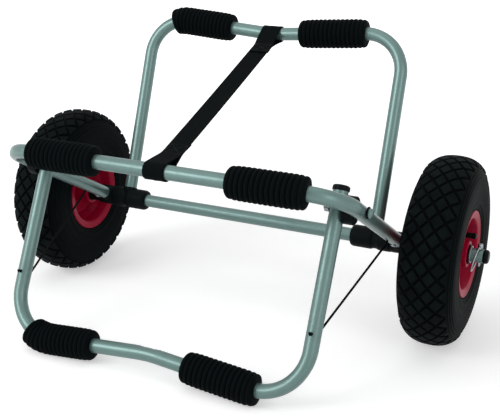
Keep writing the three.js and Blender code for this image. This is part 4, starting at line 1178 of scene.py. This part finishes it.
# %% Rivets
rivet_line = [(-2.5, 0), (-2.5, 2.0), (0.3, 2.0), (0.3, 4.0), (0.9, 3.9), (1.6, 2.7), (1.9, 1.5),
              (1.2, 1.1), (1.2, 0)]
rivet_up = 16.0
for side, sign in sides:
    for bar, plane, half, radius, way, node in (
            ("front", front_plane, front_half, eye_radius, -1, "front_frame_rivet"),
            ("rear", rear_plane, rear_half, socket_radius, 1, "rear_socket_rivet")):
        spot = moved(plane, sign * half, way * tube_radius, radius + neck + rivet_up)
        spot = spot @ Matrix.Rotation(way * math.pi / 2, 4, "Z")
        rivet = turned("rivet", rivet_line, spot, 32, fillet=0.25)
        new_piece(f"blind_rivet_{bar}_{side}", rivet, zinc, f"{bar}_frame", "steel", f"{node}_{side}")

# %% Linch pins and rings
hinge_up = tube_radius + seat_gap + 4.0
ring_radius, ring_wire, ring_hole, ring_lean = 18.5, 1.1, 2.9, 13
pin_line = [(-15.5, 0), (-15.5, 1.0), (-13.6, 2.0), (-12.0, 2.3), (9.8, 2.3), (9.8, 3.7), (17.2, 3.7),
            (17.2, 0)]
ring_outs = [Vector((0, math.sin(a), math.cos(a))) for a in angles(72)]
ring_rings = [circle(ring_radius * (out - z_axis), ring_wire, out, x_axis, 14) for out in ring_outs]
for side, sign in sides:
    spot = on_axle(sign * linch_x)
    hole = (spot.translation / mm + Vector((0, -12, hinge_up)), y_axis, 24, ring_hole)
    pin = drilled("linch_pin_round", turned("pin", pin_line, spot @ x_up, 40, fillet=1.2), [hole])
    new_piece(f"linch_pin_round_{side}", pin, zinc, f"linch_pin_{side}", "steel", f"linch_pin_{side}")
    hang = moved(spot, z=hinge_up) @ Matrix.Rotation(sign * math.radians(ring_lean), 4, "Y")
    wire = skin("spring_ring", placed(ring_rings, hang), wrap=True)
    new_piece(f"spring_ring_{side}", wire, zinc, f"linch_ring_{side}", "steel", f"linch_ring_{side}")
print("fittings made")

# %% [markdown]
# ## The opening strap
# One length of 30 mm webbing is folded back round each bar and sewn to itself, with the
# free ends on the side that faces the camera. The band is swept along its own folded path,
# one layer thick, and each free end lies a little askew, as hand-sewn ends do. The stitches
# are a box with a cross, laid by a Geometry Nodes tree that walks along the stitch lines.

# %% Strap path
rear_crown = rear_plane @ (mm * Vector((0, 0, max(p[0].z for p in rear_route if abs(p[0].x) < 3))))
front_crown = front_plane @ (mm * Vector((0, 0, front_long)))
strap_way = (front_crown - rear_crown).normalized()
strap_span = (front_crown - rear_crown).length / mm
strap_face = x_axis.cross(strap_way).normalized()
if strap_face.y > 0:
    strap_face = -strap_face
wrap_radius, band_thick, band_wide, tail_end, seam_start = 11.1, 1.5, 30.0, 59.0, 32.0
tail_skew, skew_start = 3.2, seam_start - 6
run_sag, tail_steps, wrap_steps, run_steps = 0.9, 12, 36, 40


def strap_loop(centre, facing):
    """From the free end on the camera's side, round the bar, to where the run starts."""
    points = []
    for k in range(tail_steps + 1):
        u = tail_end + (seam_start - tail_end) * k / tail_steps
        points.append((centre + facing * u, band_thick * (1.02 + 0.25 * math.exp(-(k / 1.5) ** 2))))
    touch = math.acos((wrap_radius - band_thick) / seam_start)
    for k in range(wrap_steps + 1):
        a = touch + 2 * (math.pi - touch) * k / wrap_steps
        points.append((centre + facing * wrap_radius * math.cos(a), wrap_radius * math.sin(a)))
    return points


def band_path():
    run = [(seam_start, 0.0)]
    for t in (k / run_steps for k in range(1, run_steps)):
        run.append((seam_start + (strap_span - 2 * seam_start) * t, -run_sag * math.sin(math.pi * t)))
    return strap_loop(0.0, 1) + run + [(strap_span - seam_start, 0.0)] + strap_loop(strap_span, -1)[::-1]


def eased(path, rounds=2):
    for _ in range(rounds):
        inner = [tuple(0.25 * a[i] + 0.5 * b[i] + 0.25 * c[i] for i in range(2))
                 for a, b, c in zip(path, path[1:], path[2:])]
        path = [path[0], *inner, path[-1]]
    return path


def on_strap(x, u, w):
    """A place across, along and off the strap, in metres of the scene."""
    return rear_crown + mm * (Vector((x, 0, 0)) + u * strap_way + w * strap_face)


def askew(u):
    return tail_skew * (u - skew_start) / (tail_end - skew_start)


# %% Sweeping the band
def band_section():
    """The band's section, (across, off): a wavy face and a thin rounded edge, then both again."""
    half, hem, edge, steps = band_wide / 2, 1.2, 0.35, 12
    face = [(-half + hem + 2 * (half - hem) * j / steps,
             band_thick / 2 + 0.12 * math.cos(4 * math.pi * j / steps)) for j in range(steps + 1)]
    first = face + [(half - edge, band_thick * 0.36), (half, 0.0), (half - edge, -band_thick * 0.36)]
    return first + [(-x, -t) for x, t in first]


def band_mesh(path):
    section, rings = band_section(), []
    for i, (u, w) in enumerate(path):
        a, b = path[max(i - 1, 0)], path[min(i + 1, len(path) - 1)]
        way = Vector((b[0] - a[0], b[1] - a[1])).normalized()
        far = min(u, strap_span - u)
        slide = askew(far) if w > 0.8 * band_thick and far > skew_start else 0.0
        rings.append([on_strap(x + slide, u - way.y * t, w + way.x * t) for x, t in section])
    return skin("band", rings, sharp=70)


strap_mesh = band_mesh(eased(band_path()))

# %% Stitches
stitch_tree, given, gives = geometry_tree(
    "stitches", Gap=number, Length=number, Thread=number, Finish=material_socket)
spaced = wired(stitch_tree, "GeometryNodeResampleCurve", {"mode": "LENGTH"}, Curve=given["Geometry"],
               Length=given["Gap"])
tangent = wired(stitch_tree, "GeometryNodeInputTangent")
turned_to = wired(stitch_tree, "FunctionNodeAlignRotationToVector", {"axis": "X"}, Vector=tangent)
bead = wired(stitch_tree, "GeometryNodeMeshUVSphere", Segments=8, Rings=5, Radius=1.0)
size = wired(stitch_tree, "ShaderNodeCombineXYZ", X=given["Length"], Y=given["Thread"], Z=given["Thread"])
bead = wired(stitch_tree, "GeometryNodeTransform", Geometry=bead, Scale=size)
laid = wired(stitch_tree, "GeometryNodeInstanceOnPoints", Points=spaced, Instance=bead, Rotation=turned_to)
real = wired(stitch_tree, "GeometryNodeRealizeInstances", Geometry=laid)
put_out(gives, real, given["Finish"])

near, far, half = seam_start + 4, tail_end - 3, band_wide / 2 - tail_skew
box = [(near, -half), (near, half), (far, half), (far, -half)]
stitch_lines = []
for facing in (1, -1):
    for line in (box + box[:1], [box[0], box[2]], [box[1], box[3]]):
        for lift_off in (band_thick * 1.52, -band_thick * 0.52):
            stitch_lines.append([on_strap(x + askew(u), u if facing > 0 else strap_span - u, lift_off)
                                 for u, x in line])
stitches = run_tree("stitches", curve_of("stitch_lines", stitch_lines), stitch_tree, dict(
    Gap=3.4 * mm, Length=1.35 * mm, Thread=0.34 * mm, Finish=stitching))
stitches.shade_smooth()

blend_from = 62 * mm
first, last = rear_crown + strap_way * blend_from, front_crown - strap_way * blend_from
band = new_piece("webbing_strap", strap_mesh, webbing, None, "webbing", "opening_strap")
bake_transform(band)
seams = new_piece("strap_stitching", stitches, None, None, "webbing")
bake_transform(seams)
print("strap span", round(strap_span, 1), "mm, band", len(strap_mesh.polygons), "stitches",
      len(stitches.polygons))

# %% [markdown]
# ## Stay cords
# A thin braided cord stops each stand leg. It is knotted inside the front frame's side
# tube, runs straight to the leg, passes through it and is knotted again on its front. The
# cord is swept along its own route, and each knot is a trefoil drawn tight, which looks like
# the real overhand knot at this size.

# %% Cord routes
cord_radius, knot_radius, knot_cord, knot_steps = 1.5, 1.6, 1.0, 48
cord_bend, bend_off, blend_off = 5.0, 13.5, 16
frame_end, stand_end, frame_knot, stand_knot = 2.7, 13.2, 3.65, 13.55


def knot_mesh(centre, way):
    """A tight trefoil round a cord's direction."""
    side = way.orthogonal().normalized()
    other = way.cross(side)
    loop = []
    for a in angles(knot_steps):
        x, y, z = math.sin(a) + 2 * math.sin(2 * a), math.cos(a) - 2 * math.cos(2 * a), -math.sin(3 * a)
        loop.append(centre + knot_radius / 3 * (x * side + y * other + 0.9 * z * way))
    rings = []
    for k, point in enumerate(loop):
        along = (loop[(k + 1) % knot_steps] - loop[k - 1]).normalized()
        side = point - centre
        side = (side - along * side.dot(along)).normalized()
        rings.append(circle(point, knot_cord, side, along.cross(side), 10))
    return skin("knot", placed(rings), wrap=True, sharp=60)


for side, sign in sides:
    start, down = in_plane(front_plane, (sign * front_half, 0, cord_on_front), (0, -1, 0))
    end, rearward = in_plane(stand_plane, (sign * stand_half, 0, cord_on_stand), (0, 1, 0))
    route = round_route([start + down * frame_end, start + down * bend_off, end + rearward * bend_off,
                         end - rearward * stand_end], cord_bend, 6)
    line = [place[0] for place in route]
    cord_mesh = skin("cord", placed(cord_rings(route, cord_radius, 12)), sharp=60)
    cord = new_piece(f"stay_cord_braid_{side}", cord_mesh, braid, None, "cord", f"stay_cord_{side}")
    tied = [new_piece(f"cord_knot_{label}_{side}", knot_mesh(place, way), braid, body, "cord")
            for label, place, way, body in (
                ("frame", start + down * frame_knot, down, "front_frame"),
                ("stand", end - rearward * stand_knot, rearward, "stand"))]
    long = length_of(line)
    tuple(mm * (start + down * blend_off))
    tuple(mm * (end + rearward * blend_off))
    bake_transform(cord)
    tuple(mm * line[0])
    [tuple(mm * p) for p in line]
    print("cord", side, round(long, 1), "mm")
